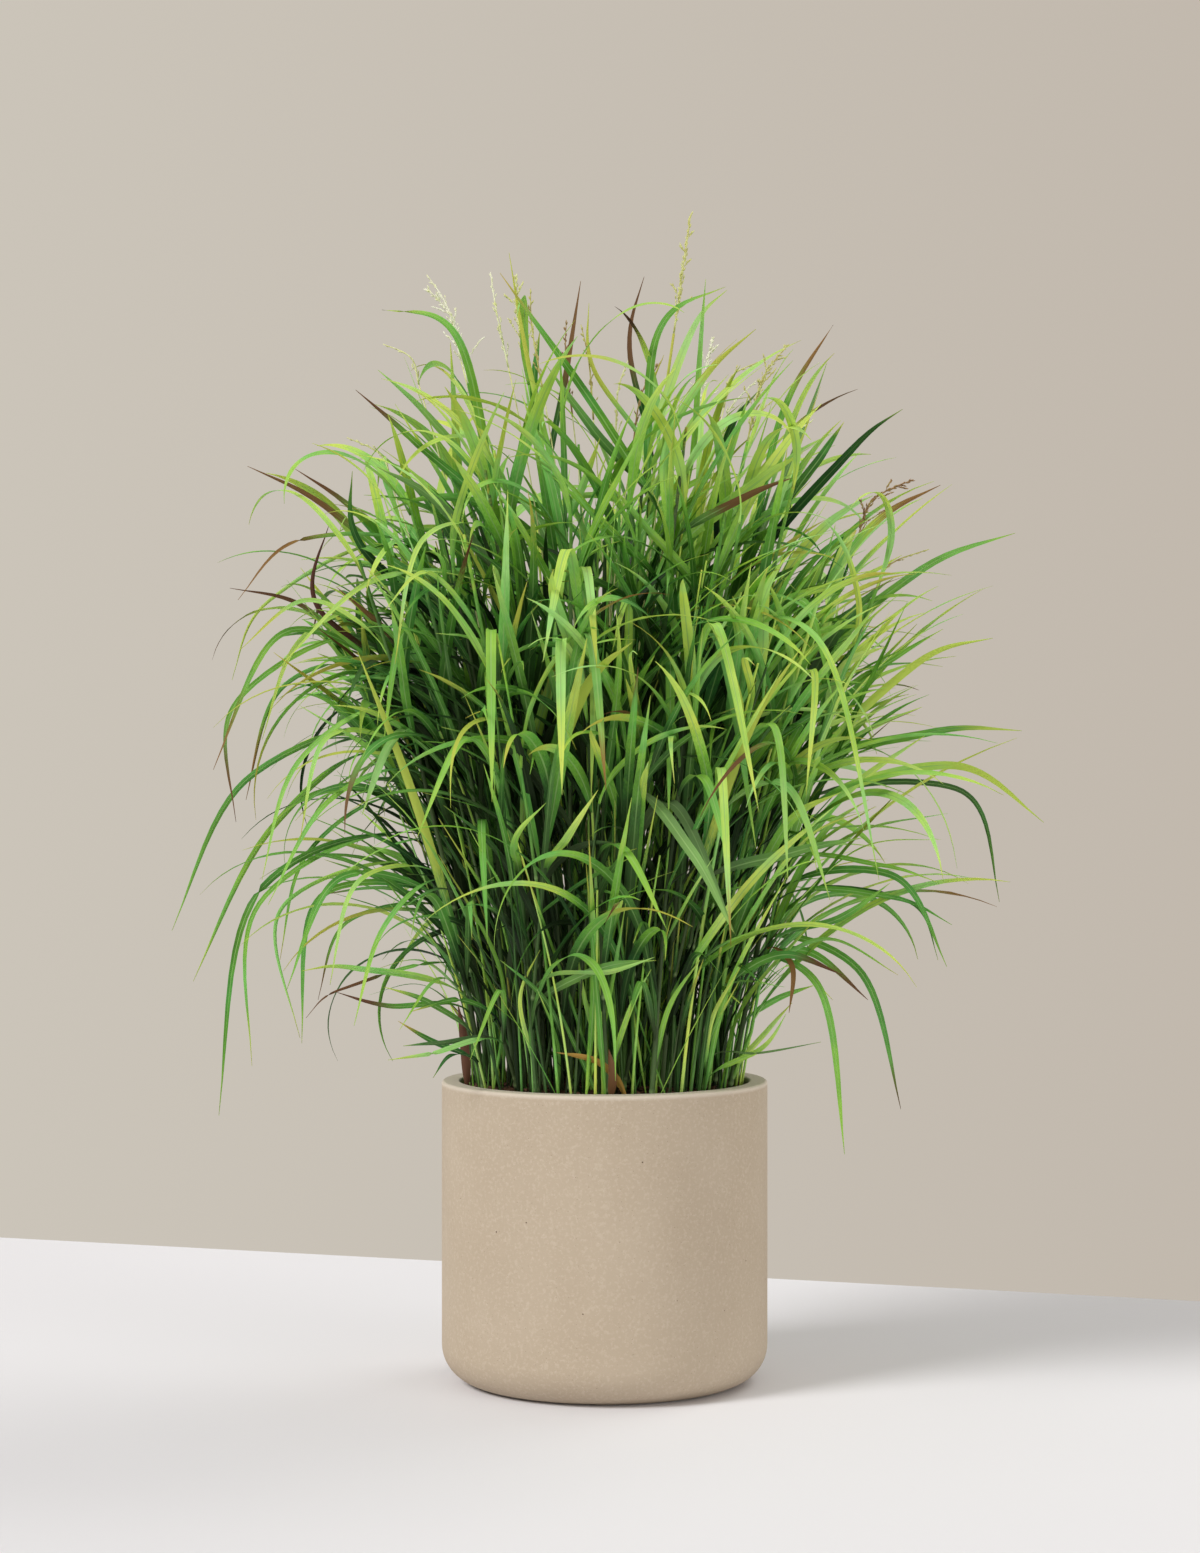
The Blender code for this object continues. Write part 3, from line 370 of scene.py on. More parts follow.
# Fine flower heads
HEAD_FINE_BRANCHES = 40
HEAD_SIDES = 5
HEAD_START = 0.06
HEAD_TURN = 0.5
HEAD_OPENING = (8, 24)
HEAD_REACH = (0.06, 0.22)
HEAD_REACH_END = 1.1
SPIKELET_STEP = 0.0045
LEAST_SPIKELETS = 2
SOLID_BRANCH_SPIKELETS = 9
SPIKELET_LENGTH = (0.0034, 0.0052)
SPIKELET_FAT = 0.18
SPIKELET_SHARES = (0.0, 0.25, 0.6, 1.0)
SPIKELET_FATS = (0.25, 1.0, 0.8, 0.08)
SPIKELET_LEAN = 0.4
SPIKELET_JITTER = 0.8
SPIKELET_SIDES = 4
BRANCH_THIN = 0.00035
BRANCH_TAPER = 0.12
BRANCH_STEPS = 4
BRANCH_SIDES = 3
BRANCH_SAG = 0.25
BRANCH_BARE = 0.25
HEAD_WIDTHS = (0.45, 1.0, 1.0, 1.0, 1.0, 1.0)
HEAD_LOOKS = ((0.62, 0, 0), (0.95, 0, 0), (0.70, 0, 0), (0.95, 0, 0), (0.55, 0, 0), (0.25, 0, 0))
YOUNG_STALK = (0.0011, 0.0007)
YOUNG_STALK_PALE = 0.1
YOUNG_STALK_LOOK = (0.7, 0, 0)
YOUNG_BRANCHES = 120
YOUNG_WIDTH = 0.8
# Young heads: where each stalk ends (x, y, z), the head's length, its lean to the right, its look
YOUNG_HEADS = (
    (-0.156, 0.020, 1.100, 0.115, -0.25, 0.90, 0, 0),
    (-0.104, 0.010, 1.090, 0.125, 0.05, 0.85, 0, 0),
    (-0.066, -0.030, 1.060, 0.130, 0.1, 0.50, 0, 0),
    (-0.035, 0.040, 1.040, 0.130, 0.1, 0.20, 0, 0),
    (-0.012, -0.020, 1.030, 0.120, -0.1, 0.45, 0, 0),
    (0.012, 0.050, 1.010, 0.120, 0.2, 0.70, 0, 0),
    (0.030, 0.000, 1.000, 0.120, 0.3, 0.30, 0, 0),
    (0.060, -0.050, 0.960, 0.110, 0.0, 0.55, 0, 0),
    (0.118, 0.000, 0.980, 0.120, 0.4, 0.92, 0, 0),
    (0.130, 0.040, 1.050, 0.070, 0.9, 0.60, 0, 0),
    (0.180, 0.030, 0.960, 0.100, 0.5, 0.80, 0, 0),
    (-0.200, 0.000, 1.070, 0.060, -0.9, 0.75, 0, 0),
    (-0.230, 0.040, 0.960, 0.080, -0.8, 0.70, 0, 0),
    (0.290, 0.020, 0.840, 0.080, 0.9, 0.45, 0, 0),
)

# Fine pot, soil and bark
POT_STEPS = 144
FLOOR_STEPS = 8
RIM_STEPS = 5
FOOT_STEPS = 14
TURN_MERGE = 0.0001
PIT_COUNT = 24
PIT_HEIGHTS = (0.06, 0.96)
PIT_RADIUS = (0.0005, 0.0010)
PIT_STANDOFF = 0.2
PIT_SQUASH = (0.6, 1.0)
SOIL_RINGS = 44
SOIL_SIDES = 132
SOIL_CRUMBS = 160.0
SOIL_ROUGH = 0.0016
SOIL_NOISE = (0.7, 2.0, 4)
SOIL_EDGE = 0.01
SOIL_EDGE_ROUGH = 0.3
SOIL_FOOT_STEPS = 4
BARK_CHIPS = 620
BARK_RING = 0.149
BARK_SIZES = ((0.004, 0.014), (0.002, 0.006), (0.001, 0.0028))
BARK_TILTS = ((0.35, "X"), (0.25, "Y"))
BARK_RISE = 0.3
BARK_JITTER = (0.65, 1.1)

# Colours
GREENS = (
    (0.00, (0.002, 0.014, 0.002)),
    (0.25, (0.022, 0.115, 0.011)),
    (0.50, (0.115, 0.365, 0.030)),
    (0.75, (0.320, 0.680, 0.070)),
    (1.00, (0.700, 0.900, 0.170)),
)
WITHERED = ((0.0, (0.10, 0.04, 0.02)), (1.0, (0.30, 0.15, 0.06)))
# Tints of the green from place to place, bluish to yellowish
HUES = ((0.36, (0.70, 0.96, 1.70)), (0.52, (1.0, 1.0, 1.0)), (0.66, (1.20, 1.02, 0.85)))
# Noises are scale, detail and roughness. Spans are from, to, and what these turn into
LEAF_GLOSS = (0.5, 0.22)
LEAF_MOTTLE = (28.0, 3.0)
LEAF_HUE = (13.0, 2.0)
LEAF_STREAKS = (1.6, 3.0)
STREAK_STRETCH = (5.0, 2.2, 40.0)
MOTTLE_TONE = (0.25, 0.75, -0.07, 0.07)
STREAK_TONE = (0.25, 0.75, -0.09, 0.09)
LENGTH_TONE = (0.45, 1.0, 0.0, 0.10)
LIT_SHARE = (0.0, 0.5, 0.1, 1.0)
VEIN_SHARE = (-1.0, 1.0, 0.0, 0.22)
RIB_SHARE = (0.05, 0.17, 0.75, 0.0)
RIB_FADE = (0.55, 1.0, 1.0, 0.1)
PALE_SHARE = 0.8
TIP_RAGGED = (0.2, 0.8, -0.10, 0.10)
TIP_SPAN = (-0.10, 0.10)
LEAF_ROUGHNESS = (0.2, 0.8, 0.42, 0.60)
LEAF_BUMP = (0.25, 0.0002)
STREAK_BUMP = 0.6
THROUGH_SHARE = 0.5
VEIN_TURNS = 30.0
VEIN_COLOUR = (0.24, 0.50, 0.14)
RIB_COLOUR = (0.36, 0.60, 0.20)
PALE_COLOUR = (0.44, 0.62, 0.26)
THROUGH_COLOUR = (0.8, 1.0, 0.3)
TRANSLUCENCY = 0.24
WITHERED_TRANSLUCENCY = 0.1
TIP_COLOURS = (
    (0.00, (0.56, 0.70, 0.11)),
    (0.25, (0.60, 0.50, 0.08)),
    (0.45, (0.44, 0.24, 0.06)),
    (0.72, (0.20, 0.10, 0.038)),
    (1.00, (0.11, 0.042, 0.026)),
)
FLOWER_COLOURS = (
    (0.00, (0.16, 0.07, 0.04)),
    (0.25, (0.36, 0.22, 0.10)),
    (0.50, (0.56, 0.54, 0.18)),
    (0.75, (0.74, 0.76, 0.36)),
    (1.00, (0.88, 0.88, 0.72)),
)
FLOWER_GLOSS = (0.6, 0.2)
FLOWER_PATCHES = (120.0, 3.0)
FLOWER_TONE = (0.3, 0.7, -0.12, 0.12)
FLOWER_BUMP = (0.3, 0.0003)
STONE_DARK = (0.460, 0.374, 0.280)
STONE_LIGHT = (0.488, 0.402, 0.306)
STONE_RIM = (0.690, 0.610, 0.520)
STONE_PALE = (0.640, 0.560, 0.450)
STONE_WHITE = (0.80, 0.74, 0.64)
STONE_BLACK = (0.16, 0.11, 0.07)
STONE_GLOSS = (0.86, 0.25)
STONE_CLOUDS = (9.0, 4.0, 0.6)
STONE_MOTTLE = (260.0, 4.0, 0.65)
STONE_GRAIN = (700.0, 3.0, 0.7)
STONE_CELLS = 620.0
EVEN_SPAN = (0.3, 0.7)
MOTTLE_SHARE = (0.48, 0.66, 0.0, 0.30)
CELL_SPAN = (0.16, 0.30, 1.0, 0.0)
# Grains of the stone: the cell's random number that picks them, above what, their strength and colour
STONE_GRAINS = ((0, 0.90, 0.30, STONE_WHITE), (1, 0.965, 0.60, STONE_BLACK))
RIM_SPAN = (POT_HEIGHT - 2 * RIM_ROUND, POT_HEIGHT - RIM_ROUND / 2, 0.0, 0.7)
STONE_ROUGHNESS = (0.3, 0.7, 0.80, 0.95)
STONE_BUMP = (0.35, 0.0006)
MOTTLE_BUMP = 0.8
# Earths: their colours by crumb, then how fine the crumbs are and how rough the surface
EARTH_SPECULAR = 0.2
CRUMB_NOISE = (5.0, 0.7)
CRUMB_BUMP_SCALE = 3
CRUMB_BUMP_NOISE = (4.0, 0.7)
CRUMB_BUMP = (0.8, 0.001)
PIT_GRAIN = (300.0, 0.95)
SOIL_GRAIN = (140.0, 0.95)
BARK_GRAIN = (90.0, 0.80)
# The insides of the pot's pits are painted shade in dark browns
PIT_SHADE_COLOURS = ((0.3, (0.07, 0.045, 0.03)), (0.7, (0.20, 0.14, 0.09)))
SOIL_COLOURS = ((0.30, (0.012, 0.007, 0.005)), (0.55, (0.050, 0.028, 0.018)), (0.75, (0.13, 0.075, 0.045)))
BARK_COLOURS = ((0.30, (0.050, 0.024, 0.014)), (0.55, (0.14, 0.072, 0.042)), (0.75, (0.30, 0.17, 0.10)))

# Stage: the floor's back edge crosses the middle at FLOOR_BACK and comes nearer to the right
FLOOR_BACK = 0.735
FLOOR_BACK_SLOPE = 0.334
FLOOR_REACH = 4.0
FLOOR_FRONT = 4.2
FLOOR_GLOSS = (0.75, 0.2)
FLOOR_CLOUDS = (1.2, 2.0)
FLOOR_COLOURS = ((0.795, 0.785, 0.820), (0.805, 0.795, 0.830))
WORLD_LIGHT = (1.0, 0.96, 0.90)
WORLD_STRENGTH = 0.50
# Painted light on the wall: its colour goes from lighter at the left to darker at the right over this much of
# the view
WALL_LIT_LEFT = (0.597, 0.553, 0.485)
WALL_SHADED_RIGHT = (0.538, 0.484, 0.420)
WALL_HALF_SPAN = 0.19
# Lights: name, from where, strength, how wide it is in degrees, colour
SUNS = (
    ("key", (-0.64, -0.42, 0.62), 2.1, 20.0, (1.0, 0.995, 0.98)),
    ("back", (0.55, 0.45, 0.80), 0.6, 30.0, (1.0, 1.0, 0.95)),
    ("fill", (0.75, -0.62, 0.10), 0.9, 30.0, (1.0, 0.99, 0.97)),
)

# The camera, and the photograph's frame in its pixels
CAMERA_PLACE = (-0.005, -3.33, 0.648)
CAMERA_LENS = 71.7
CAMERA_SENSOR = 36.0
FRAME_SIZE = (1200, 1553)
FRAME_FOCAL = CAMERA_LENS / CAMERA_SENSOR * FRAME_SIZE[1]

# Painted shade: blades are darker inside the clump, whose radius goes by height
CLUMP_HEIGHTS = (0.33, 0.50, 0.65, 0.90, 1.10, 1.25)
CLUMP_RADII = (0.155, 0.215, 0.300, 0.310, 0.230, 0.120)
DEPTH_STARTS = (0.80, 0.80, 0.62, 0.50, 0.50, 0.50)
DEPTH_END = 1.05
CLUMP_SHADE_TONE = 0.56
SHADE_FADE_HEIGHTS = (0.82, 1.05)
# A blade with a look of its own gets less painted shade past its root
OWN_SHADE_CUT = 0.9
OWN_SHADE_CUT_SHARE = 0.4

# Straight blades: how many on a stem, their length, width, opening from the stem and sag in degrees
STRAPS = 3
STRAP_LENGTH = (0.26, 0.46)
STRAP_WIDTH = (0.0075, 0.0125)
STRAP_OPENING = (8, 32)
STRAP_SAG = (2, 26)
STRAP_SHARES = (0.22, 0.90)
STRAP_TURN = 0.8
STRAP_BEND_SAG = 5
STRAP_ROLL = 80
STRAP_ROLL_START = 0.3

# Short blades low on the stems
LOW_BLADES = 200
LOW_SHARES = (0.02, 0.35)
LOW_HEIGHTS = (0.365, 0.56)
LOW_LENGTH = (0.08, 0.24)
LOW_WIDTH = (0.0032, 0.0078)
LOW_OPENING = (18, 62)
LOW_SAG = (0.05, 0.55)

# Slender blades from the soil
BASAL_BLADES = 240
BASAL_RING = (0.020, 0.147)
BASAL_LENGTH = (0.12, 0.34)
BASAL_WIDTH = (0.0030, 0.0070)
BASAL_LEAN = (-4, 20)
BASAL_TURN = 13
BASAL_BEND = 0.35
BASAL_TONE = (0.72, 0.3)
BASAL_TIP = ((-0.1, 0.25), (0, 0.2))

# Blades in front and at the outline that the solids leave out: where the photograph's frame shows
# their root, bend and tip, how far back each of these is, their width and their look. Each starts at
# the nearest of the spots on the stems
STEM_SPOTS = 40
FRONT_RISE = 0.6
FRONT_ROLL = 0.2
FRONT_BLADES = (
    ((672, 450), (690, 335), (727, 290), (-0.06, -0.07, -0.08), 0.01, (0.95, 0.55, 0.1, 0)),
    ((655, 500), (700, 383), (756, 329), (-0.08, -0.09, -0.1), 0.0085, (0.9, 0.05, 0.35, 0.1)),
    ((790, 500), (822, 455), (844, 422), (-0.08, -0.09, -0.1), 0.01, (0.3, 0, 0.08, 0.1)),
    ((690, 560), (755, 484), (803, 453), (-0.1, -0.12, -0.13), 0.0145, (0.85, 0.2, 0.1, 0)),
    ((690, 555), (743, 498), (792, 478), (-0.13, -0.14, -0.15), 0.009, (0.45, 0.15, 0.6, 0.75)),
    ((735, 500), (765, 465), (791, 434), (-0.05, -0.06, -0.07), 0.0048, (1, 0.1, 0.5, 0.05)),
    ((500, 500), (430, 418), (378, 370), (-0.03, -0.05, -0.06), 0.0085, (0.62, 0.35, 0, 0)),
    ((500, 600), (440, 505), (377, 467), (-0.12, -0.14, -0.15), 0.0115, (0.32, 0.3, 0, 0)),
    ((600, 600), (551, 487), (522, 395), (-0.08, -0.11, -0.12), 0.0095, (0.75, 0.1, 0, 0)),
    ((530, 440), (534, 385), (540, 330), (-0.02, -0.02, -0.03), 0.0085, (0.42, 0, 0.1, 0.1)),
    ((650, 500), (595, 432), (547, 366), (-0.04, -0.05, -0.06), 0.0105, (0.45, 0.3, 0, 0)),
    ((690, 540), (610, 430), (500, 273), (-0.1, -0.12, -0.13), 0.0095, (0.5, 0, 0.12, 0.3)),
    ((600, 450), (594, 370), (589, 303), (-0.03, -0.03, -0.03), 0.0055, (1, 0.05, 0.55, 0.1)),
    ((642, 500), (650, 400), (664, 355), (-0.02, -0.02, -0.02), 0.0055, (0.98, 0.05, 0.4, 0.2)),
    ((660, 600), (609, 529), (552, 476), (-0.14, -0.16, -0.17), 0.0095, (0.62, 0, 0, 0)),
    ((690, 610), (640, 520), (608, 482), (-0.13, -0.15, -0.16), 0.009, (0.78, 0.1, 0, 0)),
    ((570, 530), (585, 480), (600, 438), (-0.1, -0.11, -0.12), 0.0085, (0.97, 0.05, 0.2, 0.05)),
    ((645, 540), (664, 465), (680, 405), (-0.12, -0.13, -0.14), 0.0095, (0.85, 0.1, 0, 0)),
    ((790, 612), (855, 580), (902, 555), (-0.07, -0.09, -0.1), 0.0075, (0.95, 0.05, 0.2, 0.05)),
    ((840, 700), (900, 655), (943, 629), (-0.05, -0.06, -0.07), 0.006, (0.65, 0, 0.1, 0)),
    ((815, 765), (868, 730), (922, 707), (-0.07, -0.08, -0.09), 0.006, (0.85, 0.1, 0.1, 0)),
    ((820, 880), (880, 865), (937, 882), (-0.1, -0.12, -0.13), 0.0055, (0.6, 0, 0.1, 0)),
    ((815, 905), (890, 897), (952, 925), (-0.08, -0.09, -0.1), 0.006, (0.5, 0, 0, 0)),
    ((860, 905), (905, 900), (938, 960), (-0.05, -0.06, -0.07), 0.0045, (0.25, 0, 0, 0)),
    ((745, 640), (822, 645), (879, 880), (-0.17, -0.25, -0.28), 0.0062, (0.8, 0.15, 0, 0)),
    ((780, 720), (814, 672), (806, 795), (-0.17, -0.24, -0.27), 0.0075, (0.92, 0.1, 0.1, 0)),
    ((735, 770), (775, 728), (788, 882), (-0.18, -0.25, -0.28), 0.0075, (0.78, 0.2, 0, 0)),
    ((740, 830), (785, 785), (830, 900), (-0.18, -0.25, -0.28), 0.0085, (0.7, 0.35, 0, 0)),
    ((725, 900), (790, 853), (862, 838), (-0.15, -0.17, -0.18), 0.0115, (0.4, 0.25, 0, 0)),
    ((790, 960), (840, 918), (890, 883), (-0.12, -0.14, -0.15), 0.0095, (0.5, 0.05, 0, 0)),
    ((810, 690), (845, 666), (885, 647), (-0.12, -0.13, -0.14), 0.0105, (1, 0.5, 0, 0)),
    ((585, 640), (567, 549), (543, 662), (-0.24, -0.3, -0.33), 0.0105, (0.92, 0.1, 0, 0)),
    ((575, 600), (587, 570), (597, 668), (-0.24, -0.29, -0.32), 0.009, (1, 0.05, 0.35, 0.05)),
    ((495, 700), (491, 634), (492, 802), (-0.22, -0.29, -0.32), 0.0105, (0.7, 0.15, 0, 0)),
    ((565, 700), (561, 642), (562, 795), (-0.23, -0.3, -0.33), 0.0105, (0.95, 0.1, 0, 0)),
    ((580, 690), (590, 636), (606, 790), (-0.23, -0.29, -0.32), 0.0095, (0.62, 0.3, 0.2, 0.55)),
    ((675, 690), (718, 628), (759, 812), (-0.22, -0.28, -0.31), 0.009, (0.85, 0.15, 0, 0)),
    ((650, 800), (690, 850), (733, 932), (-0.22, -0.27, -0.29), 0.0125, (0.42, 0.5, 0, 0)),
    ((560, 1010), (610, 972), (655, 957), (-0.2, -0.25, -0.27), 0.009, (0.8, 0.35, 0, 0)),
    ((530, 890), (567, 838), (598, 790), (-0.21, -0.27, -0.29), 0.0105, (0.92, 0.2, 0, 0)),
    ((475, 900), (515, 840), (546, 803), (-0.2, -0.25, -0.27), 0.009, (0.75, 0.15, 0, 0)),
    ((500, 830), (467, 738), (417, 838), (-0.21, -0.27, -0.29), 0.0085, (0.68, 0.1, 0, 0)),
    ((715, 830), (722, 775), (731, 946), (-0.23, -0.3, -0.33), 0.009, (0.88, 0.15, 0.1, 0.5)),
    ((690, 800), (705, 780), (728, 860), (-0.2, -0.26, -0.28), 0.0095, (0.7, 0.15, 0, 0)),
    ((595, 870), (625, 850), (667, 930), (-0.2, -0.26, -0.28), 0.009, (0.66, 0.1, 0, 0)),
    ((470, 650), (430, 573), (385, 610), (-0.2, -0.26, -0.28), 0.0055, (0.9, 0.1, 0, 0)),
    ((430, 1000), (354, 968), (302, 971), (-0.08, -0.1, -0.11), 0.0075, (0.8, 0.1, 0.15, 0.05)),
    ((450, 1025), (388, 1006), (336, 992), (-0.1, -0.12, -0.13), 0.0065, (0.5, 0, 0.35, 0.9)),
    ((470, 1066), (430, 1054), (388, 1060), (-0.12, -0.14, -0.15), 0.006, (0.9, 0.1, 0.2, 0)),
    ((400, 985), (345, 988), (306, 1018), (-0.05, -0.07, -0.08), 0.0042, (0.6, 0, 0.5, 0.8)),
    ((400, 850), (262, 900), (252, 1066), (-0.05, -0.07, -0.09), 0.0055, (0.62, 0, 0.1, 0.1)),
    ((330, 660), (238, 700), (236, 822), (-0.06, -0.08, -0.1), 0.006, (0.55, 0.05, 0.25, 0.8)),
    ((360, 890), (284, 905), (300, 1038), (-0.02, -0.03, -0.04), 0.0045, (0.78, 0.05, 0.1, 0.1)),
    ((450, 890), (385, 925), (354, 1026), (-0.12, -0.15, -0.17), 0.0055, (0.7, 0.1, 0, 0)),
    ((425, 735), (388, 748), (362, 815), (-0.16, -0.2, -0.22), 0.01, (0.75, 0.6, 0, 0)),
    ((480, 540), (422, 541), (395, 664), (-0.15, -0.2, -0.23), 0.0055, (0.98, 0.1, 0.2, 0.1)),
    ((500, 600), (380, 578), (279, 668), (-0.12, -0.17, -0.2), 0.0062, (0.85, 0.25, 0.1, 0)),
    ((360, 600), (300, 640), (262, 740), (-0.05, -0.07, -0.08), 0.005, (0.9, 0.2, 0.2, 0)),
    ((340, 640), (280, 690), (246, 800), (0.03, 0.03, 0.03), 0.005, (0.62, 0, 0.3, 0.6)),
    ((380, 700), (300, 760), (262, 880), (-0.09, -0.12, -0.14), 0.0055, (0.72, 0.1, 0.1, 0)),
    ((370, 820), (310, 850), (280, 960), (0.02, 0.02, 0.02), 0.0048, (0.55, 0, 0.1, 0.3)),
    ((400, 780), (330, 800), (268, 905), (-0.13, -0.17, -0.19), 0.0058, (0.66, 0.1, 0.05, 0)),
    ((330, 560), (270, 600), (232, 680), (0.04, 0.04, 0.05), 0.0042, (0.95, 0.2, 0.3, 0)),
    ((420, 760), (330, 735), (300, 840), (-0.15, -0.19, -0.21), 0.0058, (0.85, 0.1, 0.1, 0.2)),
    ((400, 640), (310, 600), (240, 650), (-0.1, -0.13, -0.15), 0.005, (0.88, 0.2, 0.3, 0.1)),
    ((400, 930), (350, 920), (318, 1000), (0.05, 0.05, 0.05), 0.0045, (0.5, 0, 0.2, 0.8)),
    ((430, 900), (360, 880), (330, 985), (-0.14, -0.18, -0.2), 0.0055, (0.9, 0.2, 0.1, 0)),
    ((380, 560), (300, 540), (238, 600), (-0.08, -0.1, -0.12), 0.0045, (0.8, 0.1, 0.5, 0.6)),
    ((735, 1075), (768, 1030), (792, 1003), (-0.06, -0.07, -0.08), 0.0065, (0.95, 0.2, 0.2, 0.05)),
    ((720, 1080), (762, 1048), (786, 1014), (-0.09, -0.1, -0.11), 0.006, (0.8, 0.1, 0, 0)),
    ((705, 1062), (760, 1053), (821, 1042), (-0.1, -0.11, -0.12), 0.0026, (0.22, 0.35, 0, 0)),
    ((735, 1030), (775, 1000), (815, 985), (-0.04, -0.05, -0.06), 0.007, (0.6, 0.1, 0.1, 0)),
    ((730, 1000), (780, 955), (842, 975), (-0.1, -0.12, -0.13), 0.0095, (0.42, 0, 0.3, 0.85)),
    ((740, 990), (800, 950), (868, 1000), (-0.06, -0.07, -0.08), 0.009, (0.55, 0, 0.25, 0.8)),
    ((770, 950), (792, 966), (789, 1013), (-0.09, -0.1, -0.105), 0.006, (0.5, 0, 1.2, 0.62)),
    ((470, 1060), (430, 1040), (398, 1021), (-0.06, -0.07, -0.08), 0.0065, (0.3, 0, 0.2, 0.3)),
    ((475, 1050), (440, 1043), (403, 1046), (-0.1, -0.11, -0.12), 0.006, (0.2, 0.2, 0, 0)),
    ((480, 1040), (430, 1003), (384, 987), (-0.08, -0.1, -0.11), 0.007, (0.42, 0.1, 0.2, 0)),
    ((490, 1030), (462, 1000), (410, 1012), (-0.11, -0.13, -0.14), 0.0065, (0.35, 0, 0.1, 0.2)),
    ((470, 1075), (452, 1055), (433, 1078), (-0.11, -0.13, -0.135), 0.006, (0.22, 0, 0, 0)),
    ((480, 1060), (500, 990), (470, 1060), (-0.12, -0.17, -0.18), 0.006, (0.62, 0.1, 0, 0)),
    ((620, 1075), (630, 1010), (652, 968), (-0.13, -0.15, -0.16), 0.0062, (0.85, 0.1, 0, 0)),
    ((650, 1080), (668, 1010), (700, 960), (-0.12, -0.14, -0.15), 0.006, (0.72, 0.1, 0.1, 0)),
    ((700, 1080), (712, 1020), (742, 965), (-0.1, -0.12, -0.13), 0.0052, (0.95, 0.15, 0.2, 0)),
    ((600, 1080), (585, 1000), (577, 950), (-0.13, -0.15, -0.155), 0.0058, (0.78, 0.2, 0, 0)),
    ((560, 1060), (545, 1000), (500, 960), (-0.13, -0.15, -0.16), 0.0055, (0.45, 0.1, 0, 0)),
    ((530, 1070), (520, 1000), (540, 950), (-0.13, -0.15, -0.16), 0.0045, (1.1, 0, 0.3, 0)),
    ((640, 700), (628, 600), (612, 652), (-0.17, -0.21, -0.22), 0.0085, (0.88, 0.1, 0, 0)),
)

# The seed of the solids, the vertical, and what follows from the pot's size
SEED = 11
UP = Vector((0, 0, 1))
SOIL_EDGE_Z = POT_HEIGHT - SOIL_DROP
SOIL_RADIUS = POT_RADIUS - POT_WALL - SEAT_GAP


# Lines

def direction(azimuth, lean):
    """The unit vector that leans this far from the vertical towards an azimuth."""
    flat = Vector((math.cos(azimuth), math.sin(azimuth), 0))
    return flat * math.sin(lean) + UP * math.cos(lean)


def level(azimuth):
    return direction(azimuth, math.pi / 2)


def square_to(vector, tangent):
    """The unit vector nearest to this one that is square to the tangent."""
    return (vector - tangent * vector.dot(tangent)).normalized()


def opened(tangent, away, degrees):
    """The direction at this angle from the tangent, towards away."""
    opening = math.radians(degrees)
    return tangent * math.cos(opening) + away * math.sin(opening)


def beside(away):
    """The level vector a quarter turn from a level one."""
    return Vector((-away.y, away.x, 0))


def drawn_roll(most, draw):
    return math.radians(draw.uniform(-most, most))


def smooth_step(share):
    share = min(max(share, 0), 1)
    return share * share * (3 - 2 * share)


def gain(value, most, start, over):
    """What is gained at a value: nothing up to start, and the most past start + over."""
    return most * smooth_step((value - start) / over)


def point_on(line, share):
    """The point at this share of a line of even steps."""
    at = min(max(share, 0), 1) * (len(line) - 1)
    i = min(int(at), len(line) - 2)
    return line[i].lerp(line[i + 1], at - i)


def tangent_at(line, i):
    return (line[min(i + 1, len(line) - 1)] - line[max(i - 1, 0)]).normalized()


def tangent_on(line, share):
    return tangent_at(line, min(round(share * (len(line) - 1)), len(line) - 2))


def line_length(line):
    return sum((b - a).length for a, b in zip(line, line[1:]))


def even_line(line, count):
    """The line again, in this many equal steps."""
    lengths = [0.0]
    for a, b in zip(line, line[1:]):
        lengths.append(lengths[-1] + (b - a).length)
    made, at = [], 0
    for k in range(count + 1):
        want = lengths[-1] * k / count
        while at < len(line) - 2 and lengths[at + 1] < want:
            at += 1
        share = (want - lengths[at]) / (lengths[at + 1] - lengths[at])
        made.append(line[at].lerp(line[at + 1], share))
    return made


def bent_line(start, bend, tip, first_tangent, count):
    """A smooth line from start to tip that leaves along first_tangent and passes through the bend."""
    first = first_tangent.normalized() * (bend - start).length
    middle = (tip - start) * MIDDLE_PULL
    last = (tip - bend) * TIP_PULL - middle * TIP_TURN
    line = [start.copy()]
    for p, m, q, n in ((start, first, bend, middle), (bend, middle, tip, last)):
        for k in range(1, count + 1):
            t = k / count
            line.append(
                p * (2 * t**3 - 3 * t**2 + 1)
                + m * (t**3 - 2 * t**2 + t)
                + q * (3 * t**2 - 2 * t**3)
                + n * (t**3 - t**2)
            )
    return even_line(line, count)


# Stems

def on_soil(x, y):
    """The point of the domed soil at this place."""
    return Vector((x, y, SOIL_EDGE_Z + SOIL_DOME * (1 - (x * x + y * y) / SOIL_RADIUS**2)))


def arc_line(foot, tip, bend):
    """An arc from foot to tip that leans further out as it rises."""
    chord = tip - foot
    azimuth = math.atan2(chord.y, chord.x)
    lean = math.atan2(chord.xy.length, chord.z) - bend / 2
    step = chord.length * (bend / 2) / math.sin(bend / 2) / STEM_POINTS
    line = [foot.copy()]
    for i in range(STEM_POINTS):
        line.append(line[-1] + direction(azimuth, lean + bend * (i + 0.5) / STEM_POINTS) * step)
    return line


def chorded(line, stations):
    """The line drawn straight between its stations, as the tubes are, so that roots lie inside them."""
    made = []
    for i in range(len(line)):
        before = max(s for s in stations if s <= i)
        after = min(s for s in stations if s >= i)
        share = (i - before) / (after - before) if after > before else 0
        made.append(line[before].lerp(line[after], share))
    return made


